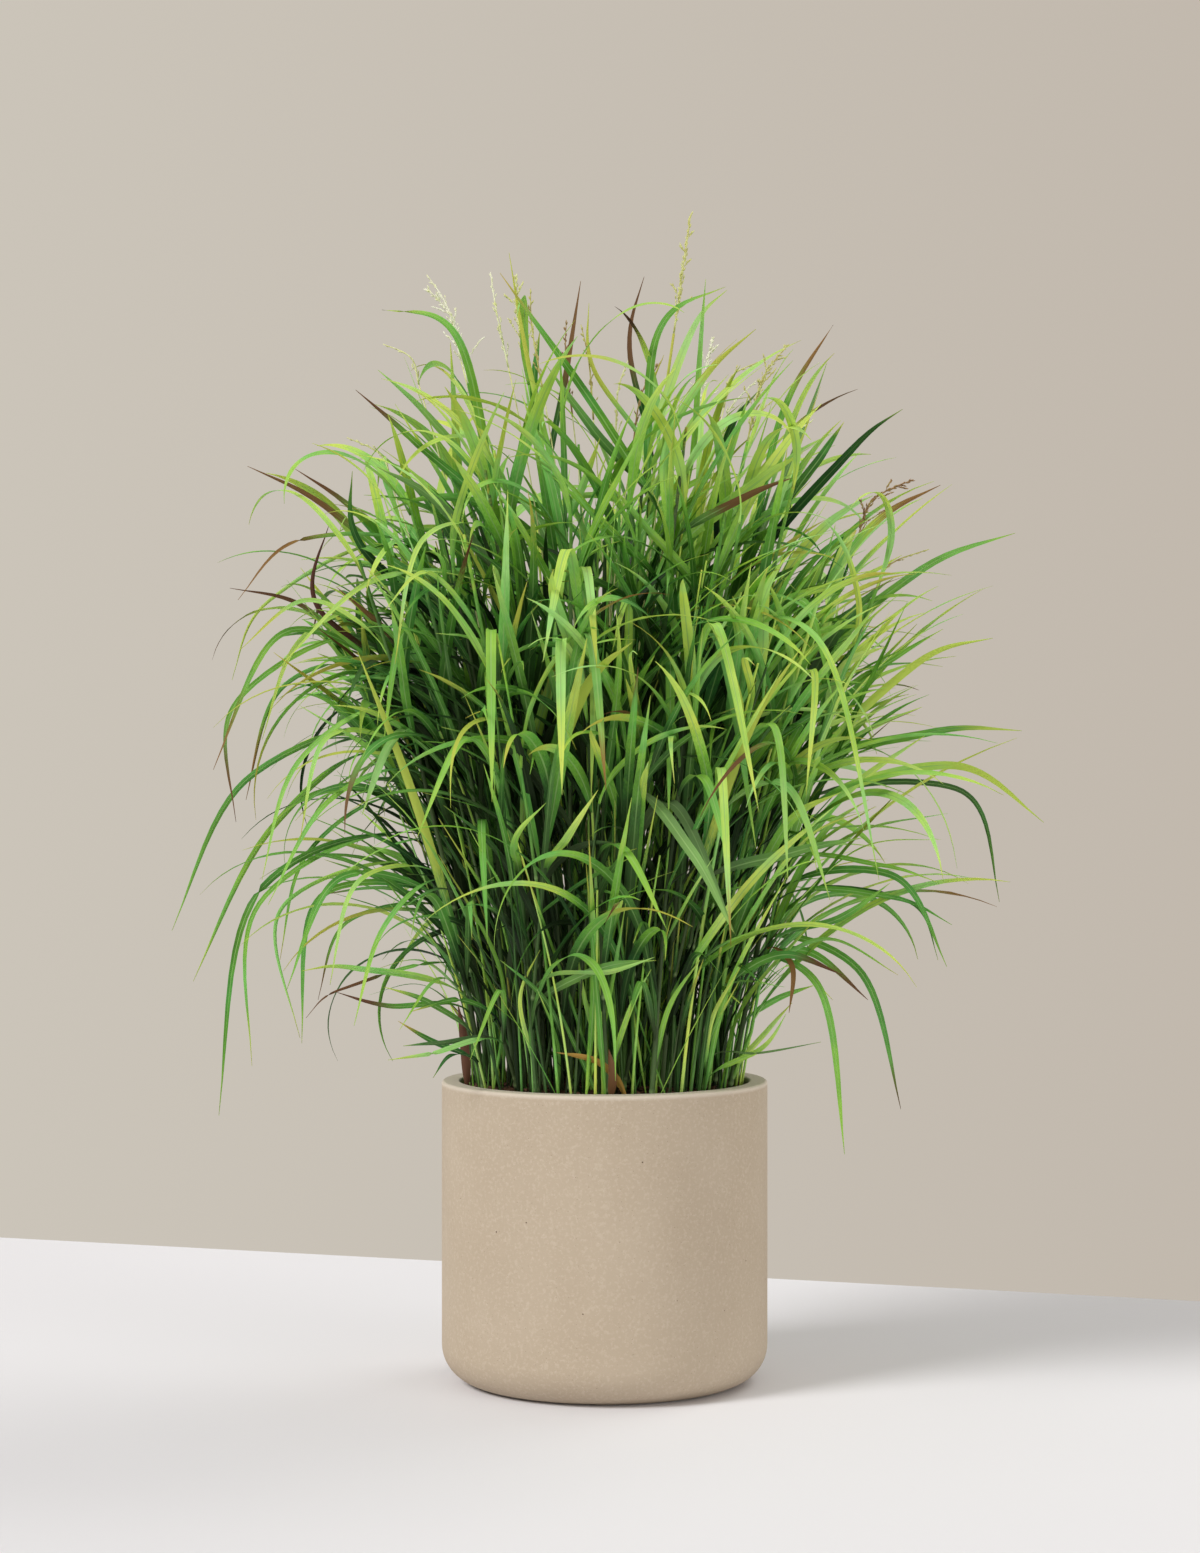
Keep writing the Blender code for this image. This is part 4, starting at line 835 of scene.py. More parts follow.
def shoot_line(stem_line, side, tip):
    """A side shoot: it leaves the stem just above the soil and soon stands beside it."""
    own = arc_line(stem_line[0] + level(side) * SHOOT_OFFSET, tip, STEM_BEND)
    reach = line_length(own) / line_length(stem_line)
    line = []
    for i, point in enumerate(own):
        on_stem = point_on(stem_line, SHOOT_START + reach * i / STEM_POINTS)
        line.append(on_stem.lerp(point, smooth_step(i / SHOOT_JOINED_POINTS)))
    return chorded(line, SHOOT_STATIONS)


def crown_tip(azimuth, reach, draw):
    """Where a stem of the clump ends."""
    out = STEM_MIDDLE + STEM_SPREAD * reach + draw.uniform(-STEM_SPREAD_JITTER, STEM_SPREAD_JITTER)
    height = STEM_TOP - STEM_TOP_DROP * reach**2 + draw.uniform(*STEM_TOP_JITTER)
    return level(azimuth + draw.gauss(0, STEM_TURN_JITTER)) * out + UP * height


def gap_between(line, others):
    """The least distance between samples of a line and of the others."""
    if not others:
        return math.inf
    shares = [k / SPACING_SAMPLES for k in range(SPACING_SAMPLES + 1)]
    ours = np.array([point_on(line, share) for share in shares])
    theirs = np.array([point_on(other, share) for other in others for share in shares])
    return float(np.linalg.norm(ours[:, None] - theirs[None], axis=2).min())


def flower_over(foot, taken):
    """The number of the free flower head that belongs over this foot, or None."""
    for number, (x, y, *_) in enumerate(FLOWER_HEADS):
        over = Vector((x, y)) * HEAD_FOOT_SHARE
        if number not in taken and (over - foot.xy).length < HEAD_FOOT_REACH:
            return number
    return None


def new_stem(line, radius, stations, flower, reach):
    return SimpleNamespace(
        line=line, radius=radius, stations=stations, flower=flower, reach=reach, shoot=None, blades=[]
    )


def make_stems(draw):
    """The stems on their spiral, each tried until it stands clear of the others."""
    stems, lines = [], []
    for number in range(STEM_COUNT):
        reach = math.sqrt((number + 0.5) / STEM_COUNT)
        azimuth = number * GOLDEN_ANGLE
        spot = level(azimuth) * (STEM_RING * reach)
        flower = flower_over(spot, [stem.flower for stem in stems])
        for _ in range(TRIES):
            foot = on_soil(
                spot.x + draw.uniform(-STEM_FOOT_JITTER, STEM_FOOT_JITTER),
                spot.y + draw.uniform(-STEM_FOOT_JITTER, STEM_FOOT_JITTER),
            )
            tip = crown_tip(azimuth, reach, draw)
            if flower is not None:
                tip = Vector(FLOWER_HEADS[flower][:3])
            line = arc_line(foot, tip, STEM_BEND * draw.uniform(*STEM_BEND_RANGE))
            line = chorded(line, STEM_STATIONS)
            if gap_between(line, lines) > STEM_SPACING:
                stems.append(new_stem(line, STEM_RADIUS, STEM_STATIONS, flower, reach))
                lines.append(line)
                break
    add_shoots(stems, lines, draw)
    return stems


def add_shoots(stems, lines, draw):
    """A side shoot at the foot of each outer stem, where it finds room."""
    for stem in stems:
        if stem.reach < SHOOT_FROM_REACH:
            continue
        foot = stem.line[0]
        azimuth = math.atan2(foot.y, foot.x)
        for _ in range(TRIES):
            over = azimuth + draw.uniform(-SHOOT_TIP_TURN, SHOOT_TIP_TURN)
            tip = foot.lerp(crown_tip(over, stem.reach, draw), draw.uniform(*SHOOT_HEIGHT_RANGE))
            side = azimuth + math.pi / 2 + draw.uniform(-SHOOT_SIDE_TURN, SHOOT_SIDE_TURN)
            line = shoot_line(stem.line, side, tip)
            others = [other for other in lines if other is not stem.line]
            free = line[SHOOT_JOINED_POINTS:]
            if min(gap_between(line, others), gap_between(free, [stem.line])) > STEM_SPACING:
                stem.shoot = new_stem(line, SHOOT_RADIUS, SHOOT_STATIONS, None, stem.reach)
                lines.append(line)
                break


def leafy_parts(stems):
    """Each stem, and each shoot after its stem."""
    for stem in stems:
        yield stem
        if stem.shoot is not None:
            yield stem.shoot


# Blades

def blade_width(share):
    """Width along a blade as a share of its widest: a narrow collar, a long even middle, a fine tip."""
    collar = min(1, COLLAR_WIDTH + share * COLLAR_GROWTH)
    return collar * (1 - max(0, (share - TAPER_START) / (1 - TAPER_START)) ** TAPER_POWER)


def stations_of(line):
    """Which of a blade's points get a cross-section: more of them, and closer, where it bends more."""
    turns = [0] + [(b - a).angle(c - b) for a, b, c in zip(line, line[1:], line[2:])] + [0]
    count = 2 + min(4, round(sum(turns) / BLADE_TURN_PER_STATION))
    weights = [
        i / BLADE_POINTS + sum(turns[: i + 1]) / BLADE_TURN_PER_STATION / 2
        for i in range(1, BLADE_POINTS + 1)
    ]
    stations = [0, 1]
    for k in range(1, count):
        want = weights[0] + (weights[-1] - weights[0]) * k / count
        at = 1 + sum(weight < want for weight in weights)
        stations.append(max(at, stations[-1] + 1))
    return stations + [BLADE_POINTS]


def blade_on(line, across, roll_start, roll_end, width):
    """A blade on a centre line. across is its width's direction before it rolls about the line."""
    sides = []
    for i in range(len(line)):
        tangent = tangent_at(line, i)
        side = square_to(across, tangent)
        roll = roll_start + (roll_end - roll_start) * i / (len(line) - 1)
        sides.append(Matrix.Rotation(roll, 3, tangent) @ side)
    widths = [width * blade_width(i / (len(line) - 1)) for i in range(len(line))]
    return SimpleNamespace(
        line=line, sides=sides, widths=widths, stations=stations_of(line), share=0, look=None
    )


def blade_shell(blade, extra=0.0, start=1):
    """Corners and faces of a blade: flat above and keeled below, from a point in the stem to a point.

    extra grows it on every side, to test the room round it, and start leaves out its first sections.
    """
    corners, faces = [blade.line[blade.stations[start - 1]].copy()], []
    for i in blade.stations[start:-1]:
        side = blade.sides[i]
        above = side.cross(tangent_at(blade.line, i)).normalized()
        half = side * (blade.widths[i] / 2 + extra * 2)
        corners.append(blade.line[i] - half + above * extra)
        corners.append(blade.line[i] + half + above * extra)
        corners.append(blade.line[i] - above * (BLADE_KEEL + extra * 2))
    corners.append(blade.line[-1] + tangent_at(blade.line, len(blade.line) - 1) * extra)
    last = len(corners) - 1
    for k in range(3):
        a, b = k, (k + 1) % 3
        faces.append((0, 1 + b, 1 + a))
        for ring in range(1, last - 3, 3):
            faces.append((ring + a, ring + 3 + b, ring + 3 + a))
            faces.append((ring + a, ring + b, ring + 3 + b))
        faces.append((last - 3 + a, last - 3 + b, last))
    return corners, faces


def crosses_itself(corners, faces):
    tree = BVHTree.FromPolygons(corners, faces)
    return any(set(faces[a]).isdisjoint(faces[b]) for a, b in tree.overlap(tree))


def draw_blade(stem, share, hand, draw):
    """A blade of a stem: it rises beside the stem, on the side that hand gives, and arches over."""
    root, tangent = point_on(stem.line, share), tangent_on(stem.line, share)
    middle = 1 - min(1, root.xy.length / STEM_RING)
    turn = draw.uniform(0, BLADE_SIDE_TURN) + middle * draw.uniform(0, BLADE_MIDDLE_TURN)
    azimuth = math.atan2(root.y, root.x) + hand * turn
    first = opened(tangent, square_to(level(azimuth), tangent), draw.uniform(*BLADE_OPENING))
    lean, heading = math.acos(first.z), math.atan2(first.y, first.x)
    swing = (azimuth - heading + math.pi) % math.tau - math.pi
    droop = draw.uniform(*BLADE_DROOP) + (1 - share) * LOW_DROOP
    droop += max(0, -math.cos(azimuth)) * LEFT_DROOP
    if draw.random() < FOLDED_SHARE:
        droop += FOLDED_DROOP
    scale = LEAST_LENGTH + MIDDLE_LENGTH * math.sin(math.pi * min(share + MIDDLE_SHIFT, MIDDLE_END))
    step = draw.uniform(*BLADE_LENGTH) * scale / BLADE_POINTS
    drift = draw.gauss(0, BLADE_DRIFT)
    power = draw.uniform(*BLADE_DROOP_POWER)
    line = [root.copy()]
    for i in range(BLADE_POINTS):
        t = (i + 0.5) / BLADE_POINTS
        now = heading + swing * BLADE_SWING * smooth_step(t * BLADE_SWING_SPEED) + drift * t * t
        line.append(line[-1] + direction(now, lean + math.radians(droop) * t**power) * step)
    roll, twist = drawn_roll(BLADE_ROLL, draw), drawn_roll(BLADE_ROLL, draw)
    blade = blade_on(line, level(azimuth + math.pi / 2), roll, roll + twist, draw.uniform(*BLADE_WIDTH))
    blade.share = share
    return blade


def draw_key_blade(stem, share, bend, tip, width, loose, draw):
    """A blade of KEY_BLADES, its bend and tip moved by up to loose, and twice that in depth."""
    share = min(TOP_BLADE_SHARE, share + draw.uniform(-BLADE_SHARE_JITTER, BLADE_SHARE_JITTER))
    start = point_on(stem.line, share)
    bend = Vector(bend) + Vector((draw.uniform(-loose, loose), draw.uniform(-loose, loose) * 2, 0))
    tip = Vector(tip) + Vector((0, draw.uniform(-loose, loose) * 2, 0))
    first = tangent_on(stem.line, share) + (bend - start).normalized() * KEY_PULL
    roll = drawn_roll(KEY_ROLL, draw)
    line = bent_line(start, bend, tip, first, BLADE_POINTS)
    blade = blade_on(line, beside((tip - start).xy.normalized()), roll, roll * KEY_ROLL_LEFT, width)
    blade.share = share
    return blade


def in_crown(point):
    rise = max(0, (point.z - CROWN_MIDDLE) / CROWN_Z)
    return (point.x / CROWN_X) ** 2 + (point.y / CROWN_Y) ** 2 + rise**2 < 1


def over_pot(point):
    return point.xy.length < POT_RADIUS + RIM_CLEARANCE and point.z < POT_HEIGHT + RIM_CLEARANCE


class Room:
    """Everything that is placed, so that each new blade can be tested for a clear way."""

    def __init__(self):
        self.trees, self.owners, self.lows, self.highs = [], [], [], []

    def add(self, corners, faces, owner):
        self.trees.append(BVHTree.FromPolygons(corners, faces))
        self.owners.append(owner)
        self.lows.append(np.min(corners, axis=0))
        self.highs.append(np.max(corners, axis=0))

    def takes(self, blade, stem):
        """Adds a blade that touches nothing but its own stem at its root, and says whether it did."""
        if any(map(over_pot, blade.line)) or crosses_itself(*blade_shell(blade)):
            return False
        corners, faces = blade_shell(blade, BLADE_CLEARANCE)
        low, high = np.min(corners, axis=0), np.max(corners, axis=0)
        near = np.all((np.array(self.lows) < high) & (np.array(self.highs) > low), axis=1)
        whole = BVHTree.FromPolygons(corners, faces)
        past_root = BVHTree.FromPolygons(*blade_shell(blade, BLADE_CLEARANCE, start=2))
        for i in np.flatnonzero(near):
            if (past_root if self.owners[i] is stem else whole).overlap(self.trees[i]):
                return False
        stem.blades.append(blade)
        self.add(*blade_shell(blade), blade)
        return True


def place_key_blades(stems, room, draw):
    """The blades of KEY_BLADES, each on the nearest stem, moved a little where its way is not clear."""
    shares = [k / KEY_SPOTS for k in range(KEY_FIRST_SPOT, KEY_SPOTS)]
    spots = [(part, share) for part in leafy_parts(stems) for share in shares]
    for (root, bend, tip, width), look in zip(KEY_BLADES, KEY_LOOKS):
        part, share = min(spots, key=lambda spot: (point_on(spot[0].line, spot[1]) - Vector(root)).length)
        for attempt in range(KEY_TRIES):
            loose = KEY_LOOSENING * attempt
            blade = draw_key_blade(part, share, bend, tip, width, loose, draw)
            if room.takes(blade, part):
                blade.look = look
                break


def place_blades(stems, room, draw):
    """Blades up each stem and shoot, to one side and the other in turn, where the way is clear."""
    for part in leafy_parts(stems):
        length = line_length(part.line)
        count = int((length - LOWEST_BLADE) / BLADE_SPACING)
        shares = [(LOWEST_BLADE + k * BLADE_SPACING) / length for k in range(count)]
        if part.flower is None:
            shares.append(TOP_BLADE_SHARE)
        hand = draw.choice((-1, 1))
        for share in shares:
            hand = -hand
            for _ in range(TRIES):
                at = share + draw.uniform(-BLADE_SHARE_JITTER, BLADE_SHARE_JITTER)
                blade = draw_blade(part, min(TOP_BLADE_SHARE, at), hand, draw)
                if all(map(in_crown, blade.line)) and room.takes(blade, part):
                    break


# Meshes

def mesh_of(corners, faces):
    mesh = bpy.data.meshes.new("shell")
    mesh.from_pydata(corners, [], faces)
    return mesh


def shell_of(mesh):
    return [v.co.copy() for v in mesh.vertices], [tuple(p.vertices) for p in mesh.polygons]


def placed(name, data):
    """The object of this data, in the scene."""
    made = bpy.data.objects.new(name, data)
    bpy.context.scene.collection.objects.link(made)
    return made


def dressed(name, mesh, surface):
    """The object of a mesh, in one material."""
    mesh.materials.append(surface)
    return placed(name, mesh)


def tube_mesh(points, radii):
    """A four-sided tube with closed ends through the points."""
    curve = bpy.data.curves.new("tube", "CURVE")
    curve.dimensions = "3D"
    curve.bevel_depth = 1
    curve.bevel_resolution = 0
    curve.use_fill_caps = True
    spline = curve.splines.new("POLY")
    spline.points.add(len(points) - 1)
    for at, point, radius in zip(spline.points, points, radii):
        at.co = (*point, 1)
        at.radius = radius
    guide = placed("tube", curve)
    graph = bpy.context.evaluated_depsgraph_get()
    mesh = bpy.data.meshes.new_from_object(guide.evaluated_get(graph))
    bpy.data.objects.remove(guide)
    bpy.data.curves.remove(curve)
    shape = bmesh.new()
    shape.from_mesh(mesh)
    bmesh.ops.remove_doubles(shape, verts=shape.verts, dist=MERGE_DISTANCE)
    bmesh.ops.recalc_face_normals(shape, faces=shape.faces)
    shape.to_mesh(mesh)
    shape.free()
    return mesh


def stem_mesh(stem, depth):
    """The tube of a stem or a shoot, and its straight foot of this depth below its first point."""
    points = [stem.line[i] for i in stem.stations]
    shares = [i / STEM_POINTS for i in stem.stations]
    if depth:
        points.insert(0, stem.line[0] - tangent_at(stem.line, 0) * depth)
        shares.insert(0, 0)
    return tube_mesh(points, [stem.radius + (STEM_TIP_RADIUS - stem.radius) * s for s in shares])


def branch_mesh(root, along, length):
    """A branch of a flower head: a three-sided stalk that swells to a spikelet, pointed at both ends."""
    lie = along.to_track_quat("Z", "Y").to_matrix()
    corners, faces = [root.copy()], []
    for share, radius in ((0.5, BRANCH_RADIUS), (SPIKELET_SHARE, SPIKELET_RADIUS)):
        for k in range(3):
            turn = k * math.tau / 3
            place = Vector((radius * math.cos(turn), radius * math.sin(turn), share * length))
            corners.append(root + lie @ place)
    corners.append(root + along * length)
    for k in range(3):
        a, b = k, (k + 1) % 3
        faces.append((0, 1 + b, 1 + a))
        faces.append((1 + a, 1 + b, 4 + b))
        faces.append((1 + a, 4 + b, 4 + a))
        faces.append((4 + a, 4 + b, 7))
    return mesh_of(corners, faces)


# Fine meshes

def unit(rows):
    return rows / np.linalg.norm(rows, axis=-1, keepdims=True)


def smoothed(share):
    share = np.clip(share, 0, 1)
    return share * share * (3 - 2 * share)


def painted_clump_shade(points):
    """The painted shade by how deep in the clump: 0 at its outside and at its top, 1 in its middle."""
    height = points[:, 2]
    share = np.hypot(points[:, 0], points[:, 1]) / np.interp(height, CLUMP_HEIGHTS, CLUMP_RADII)
    start = np.interp(height, CLUMP_HEIGHTS, DEPTH_STARTS)
    lowest, highest = SHADE_FADE_HEIGHTS
    shaded = 1 - smoothed((height - lowest) / (highest - lowest))
    return shaded * (1 - smoothed((share - start) / (DEPTH_END - start)))


class Strands:
    """Closed tubes and strips, each a grid of rings, gathered into one mesh with their looks.

    Each grid is also a strip of its own in the UV map, along its length and round its ring.
    """

    def __init__(self, inner=CLUMP_SHADE_TONE):
        """inner is how much painted shade darkens the strands in the middle of the clump."""
        self.inner = inner
        self.points, self.places, self.looks = [], [], []
        self.faces, self.rims, self.uvs = [], [], []
        self.count, self.grids = 0, 0

    def add(self, rings, across, along, pale, look, rim=(), shaded=1.0):
        """rings is (station, corner, xyz). across goes by corner, and along, pale and shaded by station."""
        stations, corners = rings.shape[:2]
        index = self.count + np.arange(stations * corners).reshape(stations, corners)
        ahead = np.roll(index, -1, axis=1)
        quads = np.stack([index[:-1], ahead[:-1], ahead[1:], index[1:]], axis=-1)
        self.faces += quads.reshape(-1, 4).tolist() + [index[0, ::-1].tolist(), index[-1].tolist()]
        place = np.empty((stations, corners, 3))
        place[..., 0], place[..., 1], place[..., 2] = across, along[:, None], pale[:, None]
        self.places.append(place.reshape(-1, 3))
        looks = np.tile(np.array(look, float), (stations * corners, 1))
        # Painted shade: the tone drops deep in the clump
        shade = painted_clump_shade(rings.reshape(-1, 3)).reshape(stations, corners)
        looks[:, 0] -= self.inner * (shade * np.reshape(shaded, (-1, 1))).ravel()
        self.looks.append(looks)
        self.points.append(rings.reshape(-1, 3))
        self.rims += index[:, list(rim)].ravel().tolist()
        self.uvs.append(self.strip(along, corners))
        self.count += stations * corners
        self.grids += 1

    def strip(self, along, corners):
        """The corners of the grid's faces in the UV map, whose rows are counted in grids here."""
        lower, upper = np.meshgrid(along[:-1], np.arange(corners), indexing="ij")
        higher = np.meshgrid(along[1:], np.arange(corners), indexing="ij")[0]
        across = [upper, upper + 1, upper + 1, upper]
        quads = np.stack([np.stack([lower, lower, higher, higher], -1), np.stack(across, -1)], -1)
        first = np.stack([np.full(corners, along[0]), np.arange(corners)[::-1]], -1)
        last = np.stack([np.full(corners, along[-1]), np.arange(corners)], -1)
        rows = np.concatenate([quads.reshape(-1, 2), first, last])
        rows[:, 1] = self.grids + UV_GAP + (1 - 2 * UV_GAP) * rows[:, 1] / corners
        return rows

    def piece(self, name, surface):
        """The object of all grids, in one material."""
        mesh = bpy.data.meshes.new(name)
        points = np.concatenate(self.points)
        mesh.from_pydata(points.tolist(), [], self.faces)
        mesh.polygons.foreach_set("use_smooth", np.ones(len(mesh.polygons), bool))
        for attribute, rows in (("place", self.places), ("look", self.looks)):
            values = np.concatenate(rows).astype(np.float32).ravel()
            mesh.attributes.new(attribute, "FLOAT_VECTOR", "POINT").data.foreach_set("vector", values)
        rim = np.zeros(len(points), bool)
        rim[self.rims] = True
        ends = np.empty(len(mesh.edges) * 2, np.int32)
        mesh.edges.foreach_get("vertices", ends)
        sharp = mesh.attributes.new("sharp_edge", "BOOLEAN", "EDGE")
        sharp.data.foreach_set("value", rim[ends.reshape(-1, 2)].all(axis=1))
        uv = np.concatenate(self.uvs)
        uv[:, 1] /= self.grids
        mesh.uv_layers.new(name="OFBake").data.foreach_set("uv", uv.astype(np.float32).ravel())
        return dressed(name, mesh, surface)


def curve_through(rows, places):
    """A smooth curve through rows, read at fractional places."""
    at = np.clip(places.astype(int), 0, len(rows) - 2)
    t = (places - at)[:, None]
    rows = np.concatenate([2 * rows[:1] - rows[1:2], rows, 2 * rows[-1:] - rows[-2:-1]])
    a, b, c, d = (rows[at + k] for k in range(4))
    return 0.5 * (2 * b + (c - a) * t + (2 * a - 5 * b + 4 * c - d) * t**2 + (3 * b - a - 3 * c + d) * t**3)


def fine_places(line):
    """Fractional places of a blade's cross-sections: closer where it bends, and at its root."""
    steps = unit(np.diff(line, axis=0))
    turns = np.arccos(np.clip((steps[1:] * steps[:-1]).sum(axis=1), -1, 1))
    weights = np.full(len(steps), SECTIONS_PER_STEP)
    weights[1:] += turns / SECTION_TURN / 2
    weights[:-1] += turns / SECTION_TURN / 2
    weights[:2] += ROOT_SECTIONS
    total = np.concatenate([[0], np.cumsum(weights)])
    return np.interp(np.linspace(0, total[-1], round(total[-1]) + 1), total, np.arange(len(line)))


def add_blade(strands, blade, look, hug, draw):
    """The fine shape of a blade: folded along its midrib, with a rib below and gently waved edges.

    hug is the radius of the stem that its root wraps. look is tone, paleness, dry tip and its colour.
    """
    tone, pale, tip, tip_colour = look
    line = np.array(blade.line)
    places = fine_places(line)
    share = places / (len(line) - 1)
    centre = curve_through(line, places)
    tangent = unit(np.gradient(centre, axis=0))
    side = curve_through(np.array(blade.sides), places)
    side = unit(side - tangent * (side * tangent).sum(axis=1, keepdims=True))
    up = np.cross(tangent, side)
    half = np.interp(places, np.arange(len(line)), blade.widths) / 2
    half = np.maximum(half * np.interp(share, FULL_SHARES, FULL_WIDTHS), LEAST_HALF_WIDTH)
    collar = 1 - smoothed(share / COLLAR_SHARE)
    fold = draw.uniform(*BLADE_FOLD)
    fold = fold * (1 - FOLD_LOSS * share) + (COLLAR_FOLD - fold) * collar
    centre -= up * (collar * hug)[:, None]
    thick = np.minimum(BLADE_THICKNESS, half * THICK_SHARE)
    wave = draw.uniform(*EDGE_WAVE)
    turn = share * line_length(blade.line) / draw.uniform(*EDGE_WAVE_STEP) * math.tau
    rings = np.empty((len(places), len(PROFILE_ACROSS), 3))
    for k, x in enumerate(PROFILE_ACROSS):
        height = fold * abs(x) * half
        height += wave * x * x * np.sin(turn + k) * (1 - collar) * np.minimum(1, half / WAVE_HALF_WIDTH)
        if k >= PROFILE_TOP:
            height -= thick + (BLADE_RIB * (1 - share) if x == 0 else 0)
        rings[:, k] = centre + side * (x * half)[:, None] + up * height[:, None]
    # A blade with a look of its own gets painted shade near its root only
    shaded = 1 - OWN_SHADE_CUT * smoothed(share / OWN_SHADE_CUT_SHARE) if blade.look else 1.0
    look = (tone, tip, tip_colour)
    strands.add(rings, PROFILE_ACROSS, share, np.full(len(places), pale), look, (0, 4), shaded)


def add_tube(strands, line, radii, sides, pale, look):
    """A closed tube. radii and pale go by point of the line."""
    line, radii = np.array(line), np.array(radii)
    tangent = unit(np.gradient(line, axis=0))
    across = np.eye(3)[np.argmin(np.abs(tangent.mean(axis=0)))]
    side = unit(across - tangent * (tangent @ across)[:, None])
    up = np.cross(tangent, side)
    turns = np.arange(sides) * math.tau / sides
    rings = line[:, None] + radii[:, None, None] * (
        side[:, None] * np.cos(turns)[None, :, None] + up[:, None] * np.sin(turns)[None, :, None]
    )
    share = np.linspace(0, 1, len(line))
    strands.add(rings, np.full(sides, PLAIN_ACROSS), share, np.broadcast_to(pale, len(line)), look)


def add_stem(strands, part, mouths, sides, look):
    """A stem with a sheath below each blade's root, a swollen pale node at each sheath's foot."""
    length = line_length(part.line)
    rows, last = [(0.0, *AT_FOOT)], 0.0
    for mouth in sorted(mouths):
        foot = max(mouth - SHEATH_LENGTH / length, last + 2 * NODE_LENGTH / length)
        step = NODE_LENGTH / length
        if mouth - foot > 4 * step:
            rows += [(foot - step, *BELOW_NODE), (foot, *AT_NODE), (foot + step, *ABOVE_NODE)]
            rows += [(mouth - step, *BELOW_MOUTH), (mouth, *AT_MOUTH)]
            last = mouth
    rows.append((1.0, *AT_TIP))
    rows = np.array(rows)
    bends = np.array(part.stations) / (len(part.line) - 1)
    shares = np.unique(np.concatenate([rows[:, 0], bends, np.linspace(0, 1, STEM_RINGS)]).round(5))
    swell = np.interp(shares, rows[:, 0], rows[:, 1])
    pale = np.interp(shares, rows[:, 0], rows[:, 2])
    line = [point_on(part.line, share) for share in shares]
    if part.rooted:
        line[0] = part.line[0] - tangent_at(part.line, 0) * STEM_SINK
    radii = (part.radius + (STEM_TIP_RADIUS * part.radius / STEM_RADIUS - part.radius) * shares) * swell
    add_tube(strands, line, radii, sides, pale, look)


# Looks of the leaves

def in_box(blade):
    """Whether a blade that the solids lack keeps within their box."""
    line, (low, high) = np.array(blade.line), np.array(CAD_BOX)
    return (line > low + BOX_MARGIN).all() and (line < high - BOX_MARGIN).all()


def draw_all(spans, draw):
    """A number from each span."""
    return [draw.uniform(*span) for span in spans]


def look_at(point, end, draw):
    """The look of a blade by its middle and its end, with painted light to the right, at the top and in
    front.
    """
    tone = TONE_MIDDLE + gain(point.x, *LIT_TONE_RIGHT) + gain(point.z, *LIT_TONE_TOP)
    spread = TONE_SPREAD - gain(point.z, *TONE_EVENNESS)
    tone += gain(-point.y, *LIT_TONE_FRONT) + draw.gauss(0, spread)
    outer = max(gain(end.xy.length, *OUTER_REACH), gain(end.z, *OUTER_HEIGHT))
    chance = draw.random()
    if chance < BROWN_CHANCE * outer:
        return tone, LITTLE_PALE, *draw_all(BROWN_TIP, draw)
    if chance < YELLOW_CHANCE[0] + YELLOW_CHANCE[1] * outer:
        return tone + YELLOW_TONE, LITTLE_PALE, *draw_all(YELLOW_TIP, draw)
    if chance > DRY_CHANCE:
        return *DRY_BLADE, *draw_all(DRY_TIP, draw)
    return tone, *draw_all(GREEN_TIP, draw)


def inside(blade):
    """Whether a blade that the solids lack keeps to the inner part of the crown and off the pot."""
    wide, deep = INNER_CROWN
    crowned = all(in_crown(Vector((point.x * wide, point.y * deep, point.z))) for point in blade.line)
    return crowned and in_box(blade) and not any(map(over_pot, blade.line))


def faced(blade):
    """The blade with its width turned about its line, past the root, to lie along the clump's front."""
    for i in range(len(blade.line)):
        side, front = blade.sides[i], tangent_at(blade.line, i).cross(Vector((0, 1, 0)))
        if front.dot(side) < 0:
            front.negate()
        share = FACING * smooth_step(i / (len(blade.line) - 1) / FACING_SHARE)
        blade.sides[i] = side.lerp(front, share * front.length).normalized()
    return blade


def dress_blade(strands, blade, hug, draw):
    """A blade with its own look if it has one, or else a look by its place."""
    look = blade.look
    if look is not None:
        blade = faced(blade)
    else:
        look = look_at(point_on(blade.line, LOOK_SHARE), blade.line[-1], draw)
    add_blade(strands, blade, look, hug, draw)


def stem_look(part, draw):
    """The look of a stem, with painted light: brighter to the right."""
    tone = STEM_TONE + gain(part.line[-1].x, *STEM_LIT_TONE_RIGHT) + draw.gauss(0, STEM_TONE_SPREAD)
    return tone, draw.uniform(*STEM_PALE), STEM_TIP_COLOUR


def dress_stems(stems, surface, draw):
    """A fine piece for each node of the clump, with the blades that its solid has."""
    for number, stem in enumerate(stems):
        strands = Strands()
        for part in leafy_parts([stem]):
            add_stem(strands, part, [blade.share for blade in part.blades], STEM_SIDES, stem_look(part, draw))
            for blade in part.blades:
                dress_blade(strands, blade, part.radius, draw)
        name = f"leafy_stem_{number + 1:02d}"
        piece = strands.piece("fine_" + name, surface)
        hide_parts(name)
        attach(piece, "root")


# What fills the clump

def sector_of(point):
    return int((math.atan2(point.y, point.x) % math.tau) / math.tau * SECTORS)


def more_blades(part, spacing, draw):
    """Blades that the solids leave out, up a stem, without a test of their way."""
    length = line_length(part.line)
    made = []
    share = (LOWEST_BLADE + draw.uniform(0, spacing)) / length
    hand = draw.choice((-1, 1))
    while share < TOP_BLADE_SHARE:
        hand = -hand
        for _ in range(MORE_TRIES):
            blade = draw_blade(part, share, hand, draw)
            wider = draw.uniform(*MORE_BLADE_WIDTH)
            blade.widths = [width * wider for width in blade.widths]
            if inside(blade) and blade.line[0].z > MORE_LOWEST:
                made.append(blade)
                break
        share += spacing / length * draw.uniform(*MORE_SPACING_RANGE)
    return made


